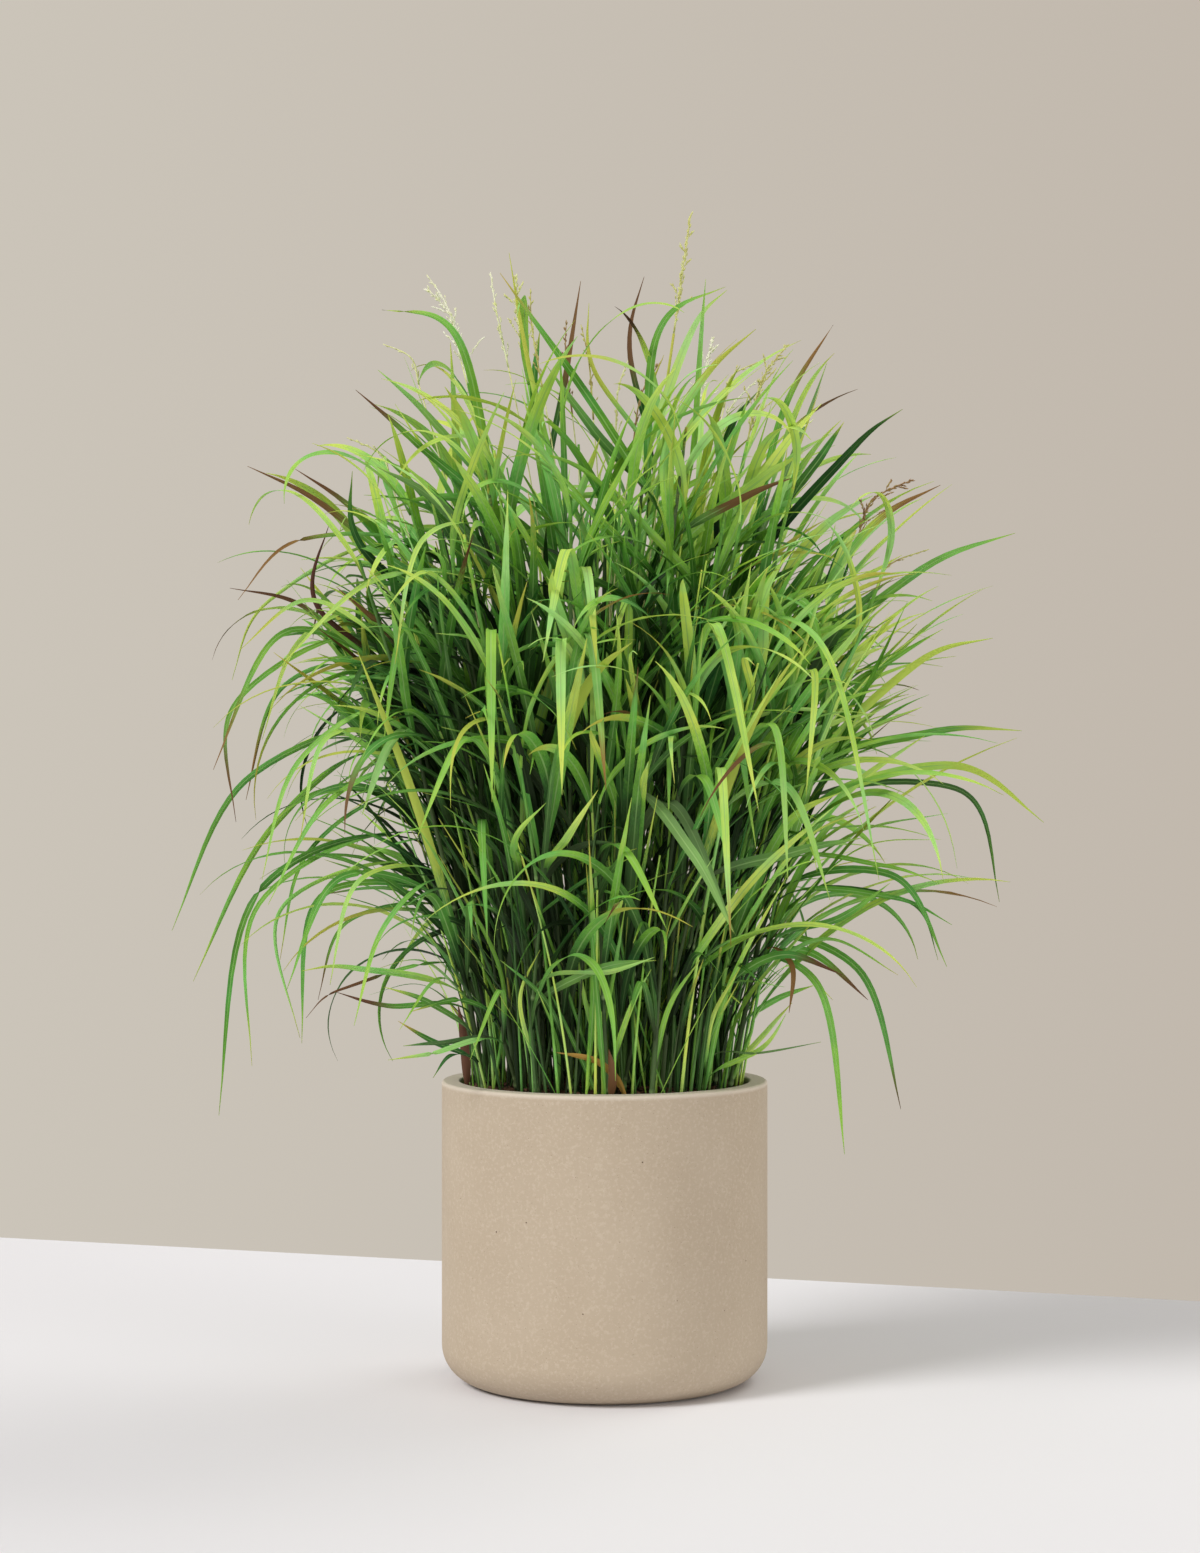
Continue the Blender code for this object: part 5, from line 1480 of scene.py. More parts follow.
def draw_strap(part, share, draw):
    """A long, nearly straight blade that the solids leave out."""
    root, tangent = point_on(part.line, share), tangent_on(part.line, share)
    azimuth = math.atan2(root.y, root.x) + draw.gauss(0, STRAP_TURN)
    first = opened(tangent, square_to(level(azimuth), tangent), draw.uniform(*STRAP_OPENING))
    length = draw.uniform(*STRAP_LENGTH)
    sag = UP * (length * math.sin(math.radians(draw.uniform(*STRAP_SAG))))
    bend, end = root + first * length / 2 - sag / STRAP_BEND_SAG, root + first * length - sag
    line = bent_line(root, bend, end, first, BLADE_POINTS)
    roll, across = drawn_roll(STRAP_ROLL, draw), level(azimuth + math.pi / 2)
    blade = blade_on(line, across, roll * STRAP_ROLL_START, roll, draw.uniform(*STRAP_WIDTH))
    blade.share = share
    return blade


def straps_on(part, draw):
    """The straight blades of a stem that keep to the crown."""
    made = []
    for _ in range(STRAPS):
        for _ in range(MORE_TRIES):
            blade = draw_strap(part, draw.uniform(*STRAP_SHARES), draw)
            if inside(blade):
                made.append(blade)
                break
    return made


def in_frame(place, depth):
    """The point at this depth (y) that the photograph's frame shows at this place."""
    scale = (depth - CAMERA_PLACE[1]) / FRAME_FOCAL
    across, down = (place[i] - FRAME_SIZE[i] / 2 for i in (0, 1))
    return Vector((CAMERA_PLACE[0] + across * scale, depth, CAMERA_PLACE[2] - down * scale))


def front_blades(stems, draw):
    """The blades of FRONT_BLADES, each from the nearest place on a stem."""
    spots = [point_on(part.line, k / STEM_SPOTS) for part in leafy_parts(stems) for k in range(STEM_SPOTS)]
    for *places, depths, width, look in FRONT_BLADES:
        root, bend, tip = map(in_frame, places, depths)
        start = min(spots, key=lambda spot: (spot - root).length)
        first = UP * FRONT_RISE + (bend - start).normalized()
        line = bent_line(start, bend, tip, first, BLADE_POINTS)
        across = beside((tip - start).xy.normalized())
        blade = blade_on(line, across, 0, draw.uniform(-FRONT_ROLL, FRONT_ROLL), width)
        blade.look = look
        yield blade


def low_blades(parts, draw):
    """Short blades low on the stems, across their gaps."""
    made = 0
    while made < LOW_BLADES:
        part, share = draw.choice(parts), draw.uniform(*LOW_SHARES)
        root, tangent = point_on(part.line, share), tangent_on(part.line, share)
        if not LOW_HEIGHTS[0] < root.z < LOW_HEIGHTS[1]:
            continue
        away = level(draw.uniform(0, math.tau))
        first = opened(tangent, away, draw.uniform(*LOW_OPENING))
        length = draw.uniform(*LOW_LENGTH)
        end = root + first * length - UP * (length * draw.uniform(*LOW_SAG))
        line = bent_line(root, root + first * length / 2, end, tangent + away, BLADE_POINTS)
        blade = blade_on(line, beside(away), 0, drawn_roll(STRAP_ROLL, draw), draw.uniform(*LOW_WIDTH))
        if inside(blade):
            made += 1
            yield blade


def basal_blades(draw):
    """Slender blades from the soil at many slants, between the stems."""
    for _ in range(BASAL_BLADES):
        azimuth = draw.uniform(0, math.tau)
        away, aside = level(azimuth), level(azimuth + math.pi / 2)
        foot = away * draw.uniform(*BASAL_RING)
        root = on_soil(foot.x, foot.y) - UP * STEM_SINK / 2
        lean, turn = math.radians(draw.uniform(*BASAL_LEAN)), math.radians(draw.gauss(0, BASAL_TURN))
        first = (UP + away * math.tan(lean) + aside * math.tan(turn)).normalized()
        length = draw.uniform(*BASAL_LENGTH)
        end = root + (first + away * draw.uniform(0, BASAL_BEND)) * length
        line = bent_line(root, root + first * length / 2, end, first, BLADE_POINTS)
        roll = drawn_roll(STRAP_ROLL, draw)
        blade = blade_on(line, aside, roll, roll, draw.uniform(*BASAL_WIDTH))
        look = draw.gauss(*BASAL_TONE), LITTLE_PALE, *draw_all(BASAL_TIP, draw)
        if not any(over_pot(point) and point.xy.length > SOIL_RADIUS for point in line):
            yield blade, look


def blades_between(stems, draw):
    """Blades that the solids leave out, in sectors of the clump."""
    sheaves = [Strands() for _ in range(SECTORS)]
    for more in (low_blades(stems, draw), front_blades(stems, draw)):
        for blade in more:
            dress_blade(sheaves[sector_of(blade.line[-1])], blade, STEM_RADIUS, draw)
    for part in leafy_parts(stems):
        for blade in more_blades(part, MORE_BLADE_SPACING, draw) + straps_on(part, draw):
            dress_blade(sheaves[sector_of(blade.line[-1])], blade, part.radius, draw)
    for blade, look in basal_blades(draw):
        add_blade(sheaves[sector_of(blade.line[-1])], blade, look, 0, draw)
    return sheaves


def thin_stems(stems, draw):
    """Thin stems with blades of their own, between those of the solids, in sectors of the clump."""
    sheaves = [Strands() for _ in range(SECTORS)]
    feet = [stem.line[0].xy for stem in stems]
    while len(feet) < len(stems) + THIN_STEMS:
        azimuth, reach = draw.uniform(0, math.tau), math.sqrt(draw.random())
        spot = level(azimuth) * (THIN_STEM_RING * reach)
        if min((spot.xy - other).length for other in feet) < THIN_STEM_GAP:
            continue
        feet.append(spot.xy)
        foot = on_soil(spot.x, spot.y)
        tip = foot.lerp(crown_tip(azimuth, reach, draw), draw.uniform(*THIN_STEM_HEIGHT))
        line = arc_line(foot, tip, STEM_BEND * draw.uniform(*STEM_BEND_RANGE))
        part = new_stem(line, draw.uniform(*THIN_STEM_RADIUS), (0, STEM_POINTS), None, reach)
        part.rooted = True
        made = more_blades(part, THIN_BLADE_SPACING, draw)
        strands, look = sheaves[sector_of(foot)], stem_look(part, draw)
        if draw.random() < THIN_BRIGHT:
            look = BRIGHT_STEM
        add_stem(strands, part, [blade.share for blade in made[::2]], THIN_STEM_SIDES, look)
        for blade in made:
            dress_blade(strands, blade, part.radius, draw)
    return sheaves


def fill_between(stems, surface, draw):
    """The pieces between those of the solids: one of blades and one of thin stems in each sector."""
    for kind, make in (("more_blades", blades_between), ("thin_stems", thin_stems)):
        for number, strands in enumerate(make(stems, draw)):
            piece = strands.piece(f"{kind}_{number + 1}", surface)
            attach(piece, "root")


# Flower heads and dead leaves

def head_line(start, tangent, length, lean):
    """A flower head's axis, which goes on from its stem and leans to the right."""
    aside = Vector((lean * HEAD_LEAN, 0, -abs(lean) * HEAD_SAG)) * length
    tip = start + tangent * length * HEAD_RISE + aside
    return bent_line(start, start + tangent * length * 0.5, tip, tangent, HEAD_POINTS)


def add_spikelet(strands, root, along, length, look):
    """A spikelet: a small pointed seed along its line."""
    line = [root + along * (length * share) for share in SPIKELET_SHARES]
    radii = [length * SPIKELET_FAT * fat for fat in SPIKELET_FATS]
    add_tube(strands, line, radii, SPIKELET_SIDES, 0.0, look)


def add_branch(strands, root, along, length, spikelets, look, draw):
    """A fine branch that droops a little at its end, with spikelets all along its outer part."""
    sag = Vector((0, 0, -1)) * (length * draw.uniform(0.0, BRANCH_SAG))
    steps = [k / BRANCH_STEPS for k in range(BRANCH_STEPS + 1)]
    line = [root + along * (length * step) + sag * step**2 for step in steps]
    radii = [BRANCH_THIN * (1 - BRANCH_TAPER * k) for k in range(len(line))]
    add_tube(strands, line, radii, BRANCH_SIDES, 0.0, look)
    for k in range(spikelets):
        share = BRANCH_BARE + (1 - BRANCH_BARE) * (k + draw.random() * SPIKELET_JITTER) / spikelets
        aside = level(draw.uniform(0, math.tau)) * SPIKELET_LEAN
        out = (tangent_on(line, share) + aside).normalized()
        add_spikelet(strands, point_on(line, share), out, draw.uniform(*SPIKELET_LENGTH), look)


def add_head(strands, line, branches, openness, look, draw):
    """A flower head along a line: its axis, and fine branches that shorten towards the tip."""
    radii = np.interp(np.linspace(0, 1, len(line)), np.linspace(0, 1, len(HEAD_RADII)), HEAD_RADII)
    add_tube(strands, line, radii, HEAD_SIDES, 0.0, look)
    length = line_length(line)
    for k in range(branches):
        share = HEAD_START + (1 - HEAD_START) * k / branches
        up = tangent_on(line, share)
        away = square_to(level(k * GOLDEN_ANGLE + draw.uniform(-HEAD_TURN, HEAD_TURN)), up)
        along = opened(up, away, draw.uniform(*HEAD_OPENING) * openness)
        reach = length * draw.uniform(*HEAD_REACH) * (HEAD_REACH_END - share)
        spikelets = max(LEAST_SPIKELETS, round(reach / SPIKELET_STEP))
        add_branch(strands, point_on(line, share), along, reach, spikelets, look, draw)


def dress_heads(stems, surface, draw):
    """A fine piece for each flower head of the solids."""
    for stem in stems:
        if stem.flower is None:
            continue
        strands = Strands(0)
        look = HEAD_LOOKS[stem.flower]
        wide = HEAD_WIDTHS[stem.flower]
        add_head(strands, stem.head_line, HEAD_FINE_BRANCHES, wide, look, draw)
        for root, along, reach in stem.head_branches:
            add_branch(strands, root, along, reach * wide, SOLID_BRANCH_SPIKELETS, look, draw)
        name = f"flower_head_{stem.flower + 1}"
        piece = strands.piece("fine_" + name, surface)
        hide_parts(name)
        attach(piece, "root")


def make_young_heads(surface, draw):
    """Thin stalks with narrow young heads among the tops, which the solids leave out."""
    strands = Strands(0)
    for x, y, z, length, lean, *look in YOUNG_HEADS:
        tip = Vector((x, y, z))
        foot = on_soil(x * HEAD_FOOT_SHARE, y * HEAD_FOOT_SHARE)
        stalk = arc_line(foot, tip, STEM_BEND)
        radii = np.linspace(*YOUNG_STALK, len(stalk))
        add_tube(strands, stalk, radii, HEAD_SIDES, YOUNG_STALK_PALE, YOUNG_STALK_LOOK)
        line = head_line(tip, tangent_at(stalk, STEM_POINTS), length, lean)
        add_head(strands, line, round(length * YOUNG_BRANCHES), YOUNG_WIDTH, look, draw)
    piece = strands.piece("young_heads", surface)
    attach(piece, "root")


def dress_dead_leaves(leaves, surface, draw):
    """A fine piece for each dead leaf of the solids."""
    for (name, *_), leaf, look in zip(DEAD_LEAVES, leaves, DEAD_LOOKS):
        strands = Strands(0)
        add_blade(strands, leaf, look, 0, draw)
        piece = strands.piece("fine_" + name, surface)
        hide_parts(name)
        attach(piece, "root")


# Pot and soil

def lathed(name, profile, steps, surface):
    """A profile of (radius, height) points turned round the Z axis."""
    mesh = bpy.data.meshes.new(name)
    mesh.from_pydata([(r, 0, z) for r, z in profile], [(i, i + 1) for i in range(len(profile) - 1)], [])
    made = dressed(name, mesh, surface)
    screw = made.modifiers.new("turn", "SCREW")
    screw.steps = screw.render_steps = steps
    screw.use_merge_vertices = True
    screw.merge_threshold = TURN_MERGE
    screw.use_normal_calculate = True
    screw.use_smooth_shade = True
    return made


def rounded(centre_r, centre_z, radius, start, end, steps):
    """Points of a profile's round corner, between two angles in degrees."""
    angles = [math.radians(start + (end - start) * k / steps) for k in range(steps + 1)]
    return [(centre_r + radius * math.cos(a), centre_z + radius * math.sin(a)) for a in angles]


def make_pot(surface, shaded_pit_surface):
    """The pot, in finer steps than its solid, with small air holes in its wall, dark inside with painted
    shade.
    """
    inner = POT_RADIUS - POT_WALL
    profile = [(0, POT_FLOOR)]
    profile += rounded(inner - INNER_ROUND, POT_FLOOR + INNER_ROUND, INNER_ROUND, -90, 0, FLOOR_STEPS)
    profile += rounded(inner + RIM_ROUND, POT_HEIGHT - RIM_ROUND, RIM_ROUND, 180, 90, RIM_STEPS)
    profile += rounded(POT_RADIUS - RIM_ROUND, POT_HEIGHT - RIM_ROUND, RIM_ROUND, 90, 0, RIM_STEPS)
    profile += rounded(POT_RADIUS - FOOT_ROUND, FOOT_ROUND, FOOT_ROUND, 0, -90, FOOT_STEPS)
    pot = lathed("fine_pot", profile + [(0, 0)], POT_STEPS, surface)
    pits = bpy.data.collections.new("pits")
    bpy.context.scene.collection.children.link(pits)
    draw = random.Random(LOOK_SEED)
    for number in range(PIT_COUNT):
        azimuth = number * GOLDEN_ANGLE
        height = POT_HEIGHT * draw.uniform(*PIT_HEIGHTS)
        radius = draw.uniform(*PIT_RADIUS)
        mesh = bpy.data.meshes.new("pit")
        shape = bmesh.new()
        bmesh.ops.create_icosphere(shape, subdivisions=2, radius=radius)
        shape.to_mesh(mesh)
        shape.free()
        mesh.materials.append(shaded_pit_surface)
        pit = bpy.data.objects.new("pit", mesh)
        pit.location = level(azimuth) * (POT_RADIUS + radius * PIT_STANDOFF) + UP * height
        pit.scale = (1.0, 1.0, draw.uniform(*PIT_SQUASH))
        pits.objects.link(pit)
    cut = pot.modifiers.new("pits", "BOOLEAN")
    cut.operation = "DIFFERENCE"
    cut.operand_type = "COLLECTION"
    cut.collection = pits
    cut.solver = "EXACT"
    cut.material_mode = "TRANSFER"
    normals = pot.modifiers.new("normals", "WEIGHTED_NORMAL")
    normals.keep_sharp = True
    graph = bpy.context.evaluated_depsgraph_get()
    mesh = bpy.data.meshes.new_from_object(pot.evaluated_get(graph))
    pot.modifiers.clear()
    pot.data = mesh
    for pit in list(pits.objects):
        bpy.data.objects.remove(pit)
    bpy.data.collections.remove(pits)
    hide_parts("pot")
    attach(pot, "root")


def soil_height(x, y):
    """The crumbly top of the soil, over the dome of its solid."""
    place = Vector((x, y, 0))
    crumbs = noise.fractal(place * SOIL_CRUMBS, *SOIL_NOISE) * SOIL_ROUGH
    edge = smooth_step((SOIL_RADIUS - place.length) / SOIL_EDGE)
    return on_soil(x, y).z + crumbs * (SOIL_EDGE_ROUGH + (1 - SOIL_EDGE_ROUGH) * edge)


def make_soil(surface):
    """The soil: a crumbly top on the plain lower part of its solid."""
    rings, sides = SOIL_RINGS, SOIL_SIDES
    corners = [Vector((0, 0, soil_height(0, 0)))]
    for ring in range(1, rings + 1):
        radius = SOIL_RADIUS * ring / rings
        for k in range(sides):
            at = level(math.tau * k / sides) * radius
            corners.append(Vector((at.x, at.y, soil_height(at.x, at.y))))
    floor = POT_FLOOR + SEAT_GAP
    lower = rounded(SOIL_RADIUS - INNER_ROUND, floor + INNER_ROUND, INNER_ROUND, 0, -90, SOIL_FOOT_STEPS)
    for radius, height in lower:
        corners += [level(math.tau * k / sides) * radius + UP * height for k in range(sides)]
    corners.append(Vector((0, 0, floor)))
    faces = [(0, 1 + k, 1 + (k + 1) % sides) for k in range(sides)]
    for ring in range(rings + len(lower) - 1):
        first = 1 + ring * sides
        for k in range(sides):
            ahead = (k + 1) % sides
            faces.append((first + k, first + sides + k, first + sides + ahead, first + ahead))
    last = 1 + (rings + len(lower) - 1) * sides
    faces += [(len(corners) - 1, last + (k + 1) % sides, last + k) for k in range(sides)]
    mesh = mesh_of(corners, faces)
    mesh.polygons.foreach_set("use_smooth", [True] * len(mesh.polygons))
    soil = dressed("fine_soil", mesh, surface)
    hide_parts("soil")
    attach(soil, "root")


def make_bark(surface, draw):
    """Chips of bark that lie on the soil."""
    corners, faces = [], []
    cube = [(x, y, z) for z in (-0.5, 0.5) for y in (-0.5, 0.5) for x in (-0.5, 0.5)]
    sides = ((0, 2, 3, 1), (4, 5, 7, 6), (0, 1, 5, 4), (2, 6, 7, 3), (0, 4, 6, 2), (1, 3, 7, 5))
    for _ in range(BARK_CHIPS):
        at = level(draw.uniform(0, math.tau)) * (BARK_RING * math.sqrt(draw.random()))
        size = Vector([draw.uniform(*span) for span in BARK_SIZES])
        turn = Matrix.Rotation(draw.uniform(0, math.tau), 3, "Z")
        for spread, axis in BARK_TILTS:
            turn = turn @ Matrix.Rotation(draw.gauss(0, spread), 3, axis)
        centre = Vector((at.x, at.y, soil_height(at.x, at.y) + size.z * BARK_RISE))
        first = len(corners)
        for place in cube:
            jitter = Vector([draw.uniform(*BARK_JITTER) for _ in range(3)])
            scaled = Vector([part * long * moved for part, long, moved in zip(place, size, jitter)])
            corners.append(centre + turn @ scaled)
        faces += [tuple(first + k for k in side) for side in sides]
    bark = dressed("bark_chips", mesh_of(corners, faces), surface)
    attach(bark, "root")


# Materials

class Nodes:
    """The nodes of a material or the world. A value or another node's socket may feed any input."""

    def __init__(self, tree):
        self.tree = tree

    def feed(self, socket, value):
        if isinstance(value, bpy.types.NodeSocket):
            self.tree.links.new(value, socket)
            return
        if isinstance(value, tuple) and len(value) < len(socket.default_value):
            value = (*value, 1)
        socket.default_value = value

    def node(self, kind, inputs=(), **settings):
        made = self.tree.nodes.new("ShaderNode" + kind)
        for key, value in settings.items():
            setattr(made, key, value)
        for key, value in dict(inputs).items():
            self.feed(made.inputs[key], value)
        return made

    def maths(self, operation, *values):
        return self.node("Math", enumerate(values), operation=operation).outputs[0]

    def times(self, first, second):
        return self.maths("MULTIPLY", first, second)

    def plus(self, first, second):
        return self.maths("ADD", first, second)

    def minus(self, first, second):
        return self.maths("SUBTRACT", first, second)

    def span(self, value, low, high, to_low=0.0, to_high=1.0):
        """value from low to high, turned smoothly into to_low to to_high."""
        inputs = {0: value, 1: low, 2: high, 3: to_low, 4: to_high}
        return self.node("MapRange", inputs, interpolation_type="SMOOTHSTEP").outputs[0]

    def mix(self, share, first, second, blend="MIX"):
        made = self.node("Mix", {0: share, 6: first, 7: second}, data_type="RGBA", blend_type=blend)
        return made.outputs[2]

    def ramp(self, share, stops):
        made = self.node("ValToRGB", {0: share})
        elements = made.color_ramp.elements
        while len(elements) < len(stops):
            elements.new(1)
        for element, (place, colour) in zip(elements, stops):
            element.position = place
            element.color = (*colour, 1)
        return made.outputs[0]

    def noise(self, vector, scale, detail=2.0, roughness=0.5):
        inputs = {"Vector": vector, "Scale": scale, "Detail": detail, "Roughness": roughness}
        return self.node("TexNoise", inputs).outputs["Fac"]

    def parts(self, vector):
        """The three numbers of a vector."""
        return self.node("SeparateXYZ", {0: vector}).outputs


class Surface(Nodes):
    """A material, its shader and the nodes behind it."""

    def __init__(self, name, roughness, specular):
        self.material = bpy.data.materials.new(name)
        self.material.use_nodes = True
        super().__init__(self.material.node_tree)
        self.shader = self.tree.nodes["Principled BSDF"]
        self.feed(self.shader.inputs["Roughness"], roughness)
        self.feed(self.shader.inputs["Specular IOR Level"], specular)

    def place(self):
        return self.node("TexCoord").outputs["Object"]

    def parts_of(self, attribute):
        """The three numbers of a mesh attribute."""
        return self.parts(self.node("Attribute", attribute_name=attribute).outputs["Vector"])

    def bump(self, height, strength, distance):
        inputs = {"Height": height, "Strength": strength, "Distance": distance}
        self.feed(self.shader.inputs["Normal"], self.node("Bump", inputs).outputs[0])

    def colour(self, value):
        self.feed(self.shader.inputs["Base Color"], value)


def leaf_surface(name, greens, translucency):
    """Leaves: a green by tone, fine veins, a pale midrib, dry tips, and light that shines through."""
    surface = Surface(name, *LEAF_GLOSS)
    across, along, pale = surface.parts_of("place")
    tone, tip, tip_colour = surface.parts_of("look")
    place = surface.place()
    mottle = surface.noise(place, *LEAF_MOTTLE)
    stretched = map(surface.times, (across, along, tone), STREAK_STRETCH)
    grain = surface.node("CombineXYZ", enumerate(stretched)).outputs[0]
    streaks = surface.noise(grain, *LEAF_STREAKS)
    shifted = tone
    for value, span in ((mottle, MOTTLE_TONE), (streaks, STREAK_TONE), (along, LENGTH_TONE)):
        shifted = surface.plus(shifted, surface.span(value, *span))
    hue = surface.ramp(surface.noise(place, *LEAF_HUE), HUES)
    green = surface.mix(1.0, surface.ramp(shifted, greens), hue, "MULTIPLY")
    # Veins and midrib fade on dark tones, and so also in the painted shade
    lit = surface.span(tone, *LIT_SHARE)
    vein = surface.maths("SINE", surface.times(across, VEIN_TURNS))
    streaked = surface.times(surface.span(vein, *VEIN_SHARE), lit)
    veined = surface.mix(streaked, green, VEIN_COLOUR)
    rib = surface.times(surface.span(surface.maths("ABSOLUTE", across), *RIB_SHARE), lit)
    rib = surface.times(rib, surface.span(along, *RIB_FADE))
    ribbed = surface.mix(rib, veined, RIB_COLOUR)
    faded = surface.mix(surface.times(pale, PALE_SHARE), ribbed, PALE_COLOUR)
    ragged = surface.plus(along, surface.span(streaks, *TIP_RAGGED))
    dry = surface.span(surface.minus(ragged, surface.minus(1.0, tip)), *TIP_SPAN)
    dried = surface.mix(dry, faded, surface.ramp(tip_colour, TIP_COLOURS))
    surface.colour(dried)
    surface.feed(surface.shader.inputs["Roughness"], surface.span(streaks, *LEAF_ROUGHNESS))
    surface.bump(surface.plus(vein, surface.times(streaks, STREAK_BUMP)), *LEAF_BUMP)
    shining = surface.mix(THROUGH_SHARE, dried, THROUGH_COLOUR, "MULTIPLY")
    through = surface.node("BsdfTranslucent", {"Color": shining})
    both = surface.node("MixShader", {0: translucency, 1: surface.shader.outputs[0], 2: through.outputs[0]})
    surface.feed(surface.tree.nodes["Material Output"].inputs["Surface"], both.outputs[0])
    return surface.material


def flower_surface():
    """Flower heads: straw, cream or rusty by tone, a little patchy."""
    surface = Surface("flower_head", *FLOWER_GLOSS)
    tone = surface.parts_of("look")[0]
    patches = surface.noise(surface.place(), *FLOWER_PATCHES)
    shifted = surface.plus(tone, surface.span(patches, *FLOWER_TONE))
    surface.colour(surface.ramp(shifted, FLOWER_COLOURS))
    surface.bump(patches, *FLOWER_BUMP)
    return surface.material


def pot_surface():
    """Cast stone: a sandy ground with pale mottling, pale and dark grains, a pale rim and a rough feel."""
    surface = Surface("cast_stone", *STONE_GLOSS)
    place = surface.place()
    clouds = surface.noise(place, *STONE_CLOUDS)
    mottle = surface.noise(place, *STONE_MOTTLE)
    colour = surface.mix(surface.span(clouds, *EVEN_SPAN), STONE_DARK, STONE_LIGHT)
    colour = surface.mix(surface.span(mottle, *MOTTLE_SHARE), colour, STONE_PALE)
    cells = surface.node("TexVoronoi", {"Vector": place, "Scale": STONE_CELLS})
    pick = surface.parts(cells.outputs["Color"])
    near = surface.span(cells.outputs["Distance"], *CELL_SPAN)
    for number, above, strength, grain in STONE_GRAINS:
        picked = surface.times(near, surface.maths("GREATER_THAN", pick[number], above))
        colour = surface.mix(surface.times(picked, strength), colour, grain)
    rim = surface.span(surface.parts(place)[2], *RIM_SPAN)
    surface.colour(surface.mix(rim, colour, STONE_RIM))
    surface.feed(surface.shader.inputs["Roughness"], surface.span(mottle, *STONE_ROUGHNESS))
    rough = surface.noise(place, *STONE_GRAIN)
    surface.bump(surface.plus(rough, surface.times(mottle, MOTTLE_BUMP)), *STONE_BUMP)
    return surface.material


def earth_surface(name, colours, scale, roughness):
    """Soil, bark, or the painted shade inside a pit: browns in crumbs."""
    surface = Surface(name, roughness, EARTH_SPECULAR)
    place = surface.place()
    surface.colour(surface.ramp(surface.noise(place, scale, *CRUMB_NOISE), colours))
    surface.bump(surface.noise(place, scale * CRUMB_BUMP_SCALE, *CRUMB_BUMP_NOISE), *CRUMB_BUMP)
    return surface.material


# Stage

def make_stage():
    """A pale floor that ends behind the pot, a plain world with a wall painted lighter to the left, and soft
    light from the left.
    """
    floor = Surface("floor", *FLOOR_GLOSS)
    cloud = floor.noise(floor.place(), *FLOOR_CLOUDS)
    floor.colour(floor.mix(floor.span(cloud, *EVEN_SPAN), *FLOOR_COLOURS))
    back = [FLOOR_BACK - FLOOR_BACK_SLOPE * x for x in (-FLOOR_REACH, FLOOR_REACH)]
    corners = [(-FLOOR_REACH, -FLOOR_FRONT, 0), (FLOOR_REACH, -FLOOR_FRONT, 0)]
    corners += [(FLOOR_REACH, back[1], 0), (-FLOOR_REACH, back[0], 0)]
    ground = dressed("floor", mesh_of(corners, [(0, 1, 2, 3)]), floor.material)

    world = bpy.data.worlds.new("studio")
    bpy.context.scene.world = world
    world.use_nodes = True
    sky = Nodes(world.node_tree)
    light = sky.tree.nodes["Background"]
    sky.feed(light.inputs["Color"], WORLD_LIGHT)
    sky.feed(light.inputs["Strength"], WORLD_STRENGTH)
    # The wall seen from the camera: painted light, lighter to the left
    towards = sky.parts(sky.node("TexCoord").outputs["Generated"])["X"]
    share = sky.node("MapRange", {0: towards, 1: -WALL_HALF_SPAN, 2: WALL_HALF_SPAN}).outputs[0]
    wall = sky.node("Background", {"Color": sky.mix(share, WALL_LIT_LEFT, WALL_SHADED_RIGHT)})
    seen = sky.node("LightPath").outputs["Is Camera Ray"]
    both = sky.node("MixShader", {0: seen, 1: light.outputs[0], 2: wall.outputs[0]})
    sky.feed(sky.tree.nodes["World Output"].inputs["Surface"], both.outputs[0])

    for name, towards_light, strength, width, colour in SUNS:
        lamp = bpy.data.lights.new(name, "SUN")
        lamp.energy = strength
        lamp.angle = math.radians(width)
        lamp.color = colour
        made = placed(name, lamp)
        made.rotation_mode = "QUATERNION"
        made.rotation_quaternion = Vector(towards_light).to_track_quat("Z", "Y")


def make_camera():
    """The photograph's view: level, from in front, at half the plant's height."""
    lens = bpy.data.cameras.new("camera")
    lens.lens = CAMERA_LENS
    lens.sensor_width = CAMERA_SENSOR
    camera = placed("camera", lens)
    camera.location = CAMERA_PLACE
    camera.rotation_euler = (math.pi / 2, 0, 0)
    bpy.context.scene.camera = camera
    bpy.context.scene.view_settings.view_transform = "Standard"


# Plant

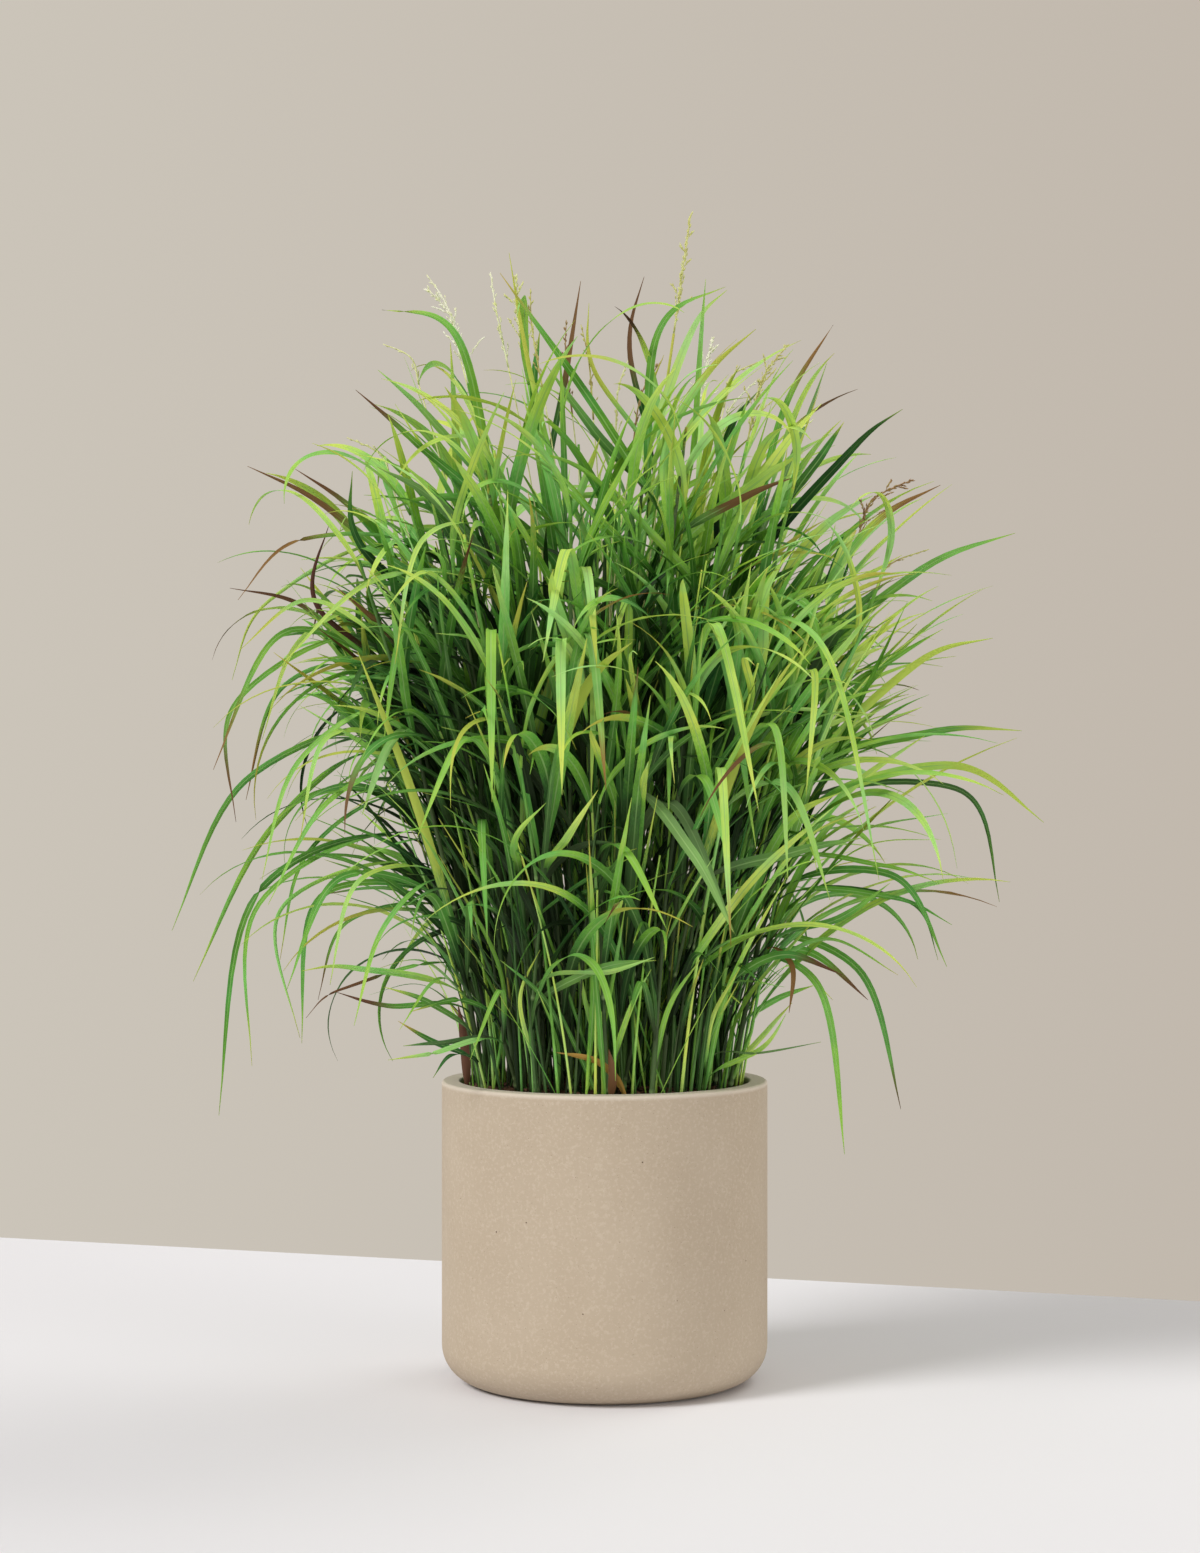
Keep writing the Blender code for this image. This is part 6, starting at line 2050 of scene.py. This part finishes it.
def make_head_lines(stem, room, draw):
    """The flower head's axis and branches as in the solids, kept for its fine shape."""
    length, lean = FLOWER_HEADS[stem.flower][3:]
    tangent = tangent_at(stem.line, STEM_POINTS)
    start = stem.line[-1] + tangent * SEAT_GAP
    line = head_line(start, tangent, length, lean)
    points = [line[i] for i in HEAD_STATIONS]
    meshes = [tube_mesh(points, HEAD_RADII)]
    stem.head_line, stem.head_branches = line, []
    lowest, highest = HEAD_BRANCH_SHARES
    for k in range(HEAD_BRANCHES):
        share = lowest + (highest - lowest) * k / (HEAD_BRANCHES - 1)
        up = tangent_on(line, share)
        away = level(k * GOLDEN_ANGLE + draw.uniform(-HEAD_BRANCH_TURN, HEAD_BRANCH_TURN))
        along = opened(up, square_to(away, up), draw.uniform(*BRANCH_OPENING))
        reach = (HEAD_BRANCH_END - share) * length * BRANCH_LENGTH
        root = point_on(points, share)
        stem.head_branches.append((root, along, reach))
        meshes.append(branch_mesh(root, along, reach))
    for mesh in meshes:
        room.add(*shell_of(mesh), stem)
        bpy.data.meshes.remove(mesh)


def dead_leaf(foot, bend, tip, width, roll):
    """A dead leaf of the solids."""
    start, bend, tip = on_soil(*foot), Vector(bend), Vector(tip)
    line = bent_line(start, bend, tip, (bend - start).normalized() + UP, BLADE_POINTS)
    rise = tangent_at(line, 0)
    across = beside((tip - start).xy.normalized())
    leaf = blade_on(line, across, math.radians(roll), math.radians(roll), width)
    leaf.line = [start - rise * DEAD_LEAF_DEPTH] + line
    leaf.sides = leaf.sides[:1] + leaf.sides
    leaf.widths = [DEAD_ROOT_WIDTH] * 2 + leaf.widths[1:]
    leaf.stations = DEAD_LEAF_STATIONS
    return leaf


def draw_plant():
    """The clump of the solids: its stems with their shoots and blades, and its dead leaves."""
    draw = random.Random(SEED)
    room = Room()
    stems = make_stems(draw)
    for stem in stems:
        stem.rooted = True
        room.add(*shell_of(stem_mesh(stem, STEM_DEPTH)), stem)
        if stem.shoot is not None:
            stem.shoot.rooted = False
            room.add(*shell_of(stem_mesh(stem.shoot, 0)), stem.shoot)
    leaves = [dead_leaf(*row) for _, *row in DEAD_LEAVES]
    for leaf in leaves:
        room.add(*blade_shell(leaf), leaf)
    for stem in stems:
        if stem.flower is not None:
            make_head_lines(stem, room, draw)
    place_key_blades(stems, room, draw)
    place_blades(stems, room, draw)
    return stems, leaves


def main():
    stems, leaves = draw_plant()
    draw = random.Random(LOOK_SEED)
    foliage = leaf_surface("grass", GREENS, TRANSLUCENCY)
    dress_stems(stems, foliage, draw)
    fill_between(stems, foliage, draw)
    flower = flower_surface()
    dress_heads(stems, flower, draw)
    make_young_heads(flower, draw)
    dress_dead_leaves(leaves, leaf_surface("withered", WITHERED, WITHERED_TRANSLUCENCY), draw)
    make_pot(pot_surface(), earth_surface("pit", PIT_SHADE_COLOURS, *PIT_GRAIN))
    make_soil(earth_surface("soil", SOIL_COLOURS, *SOIL_GRAIN))
    make_bark(earth_surface("bark", BARK_COLOURS, *BARK_GRAIN), draw)
    make_stage()
    make_camera()


main()
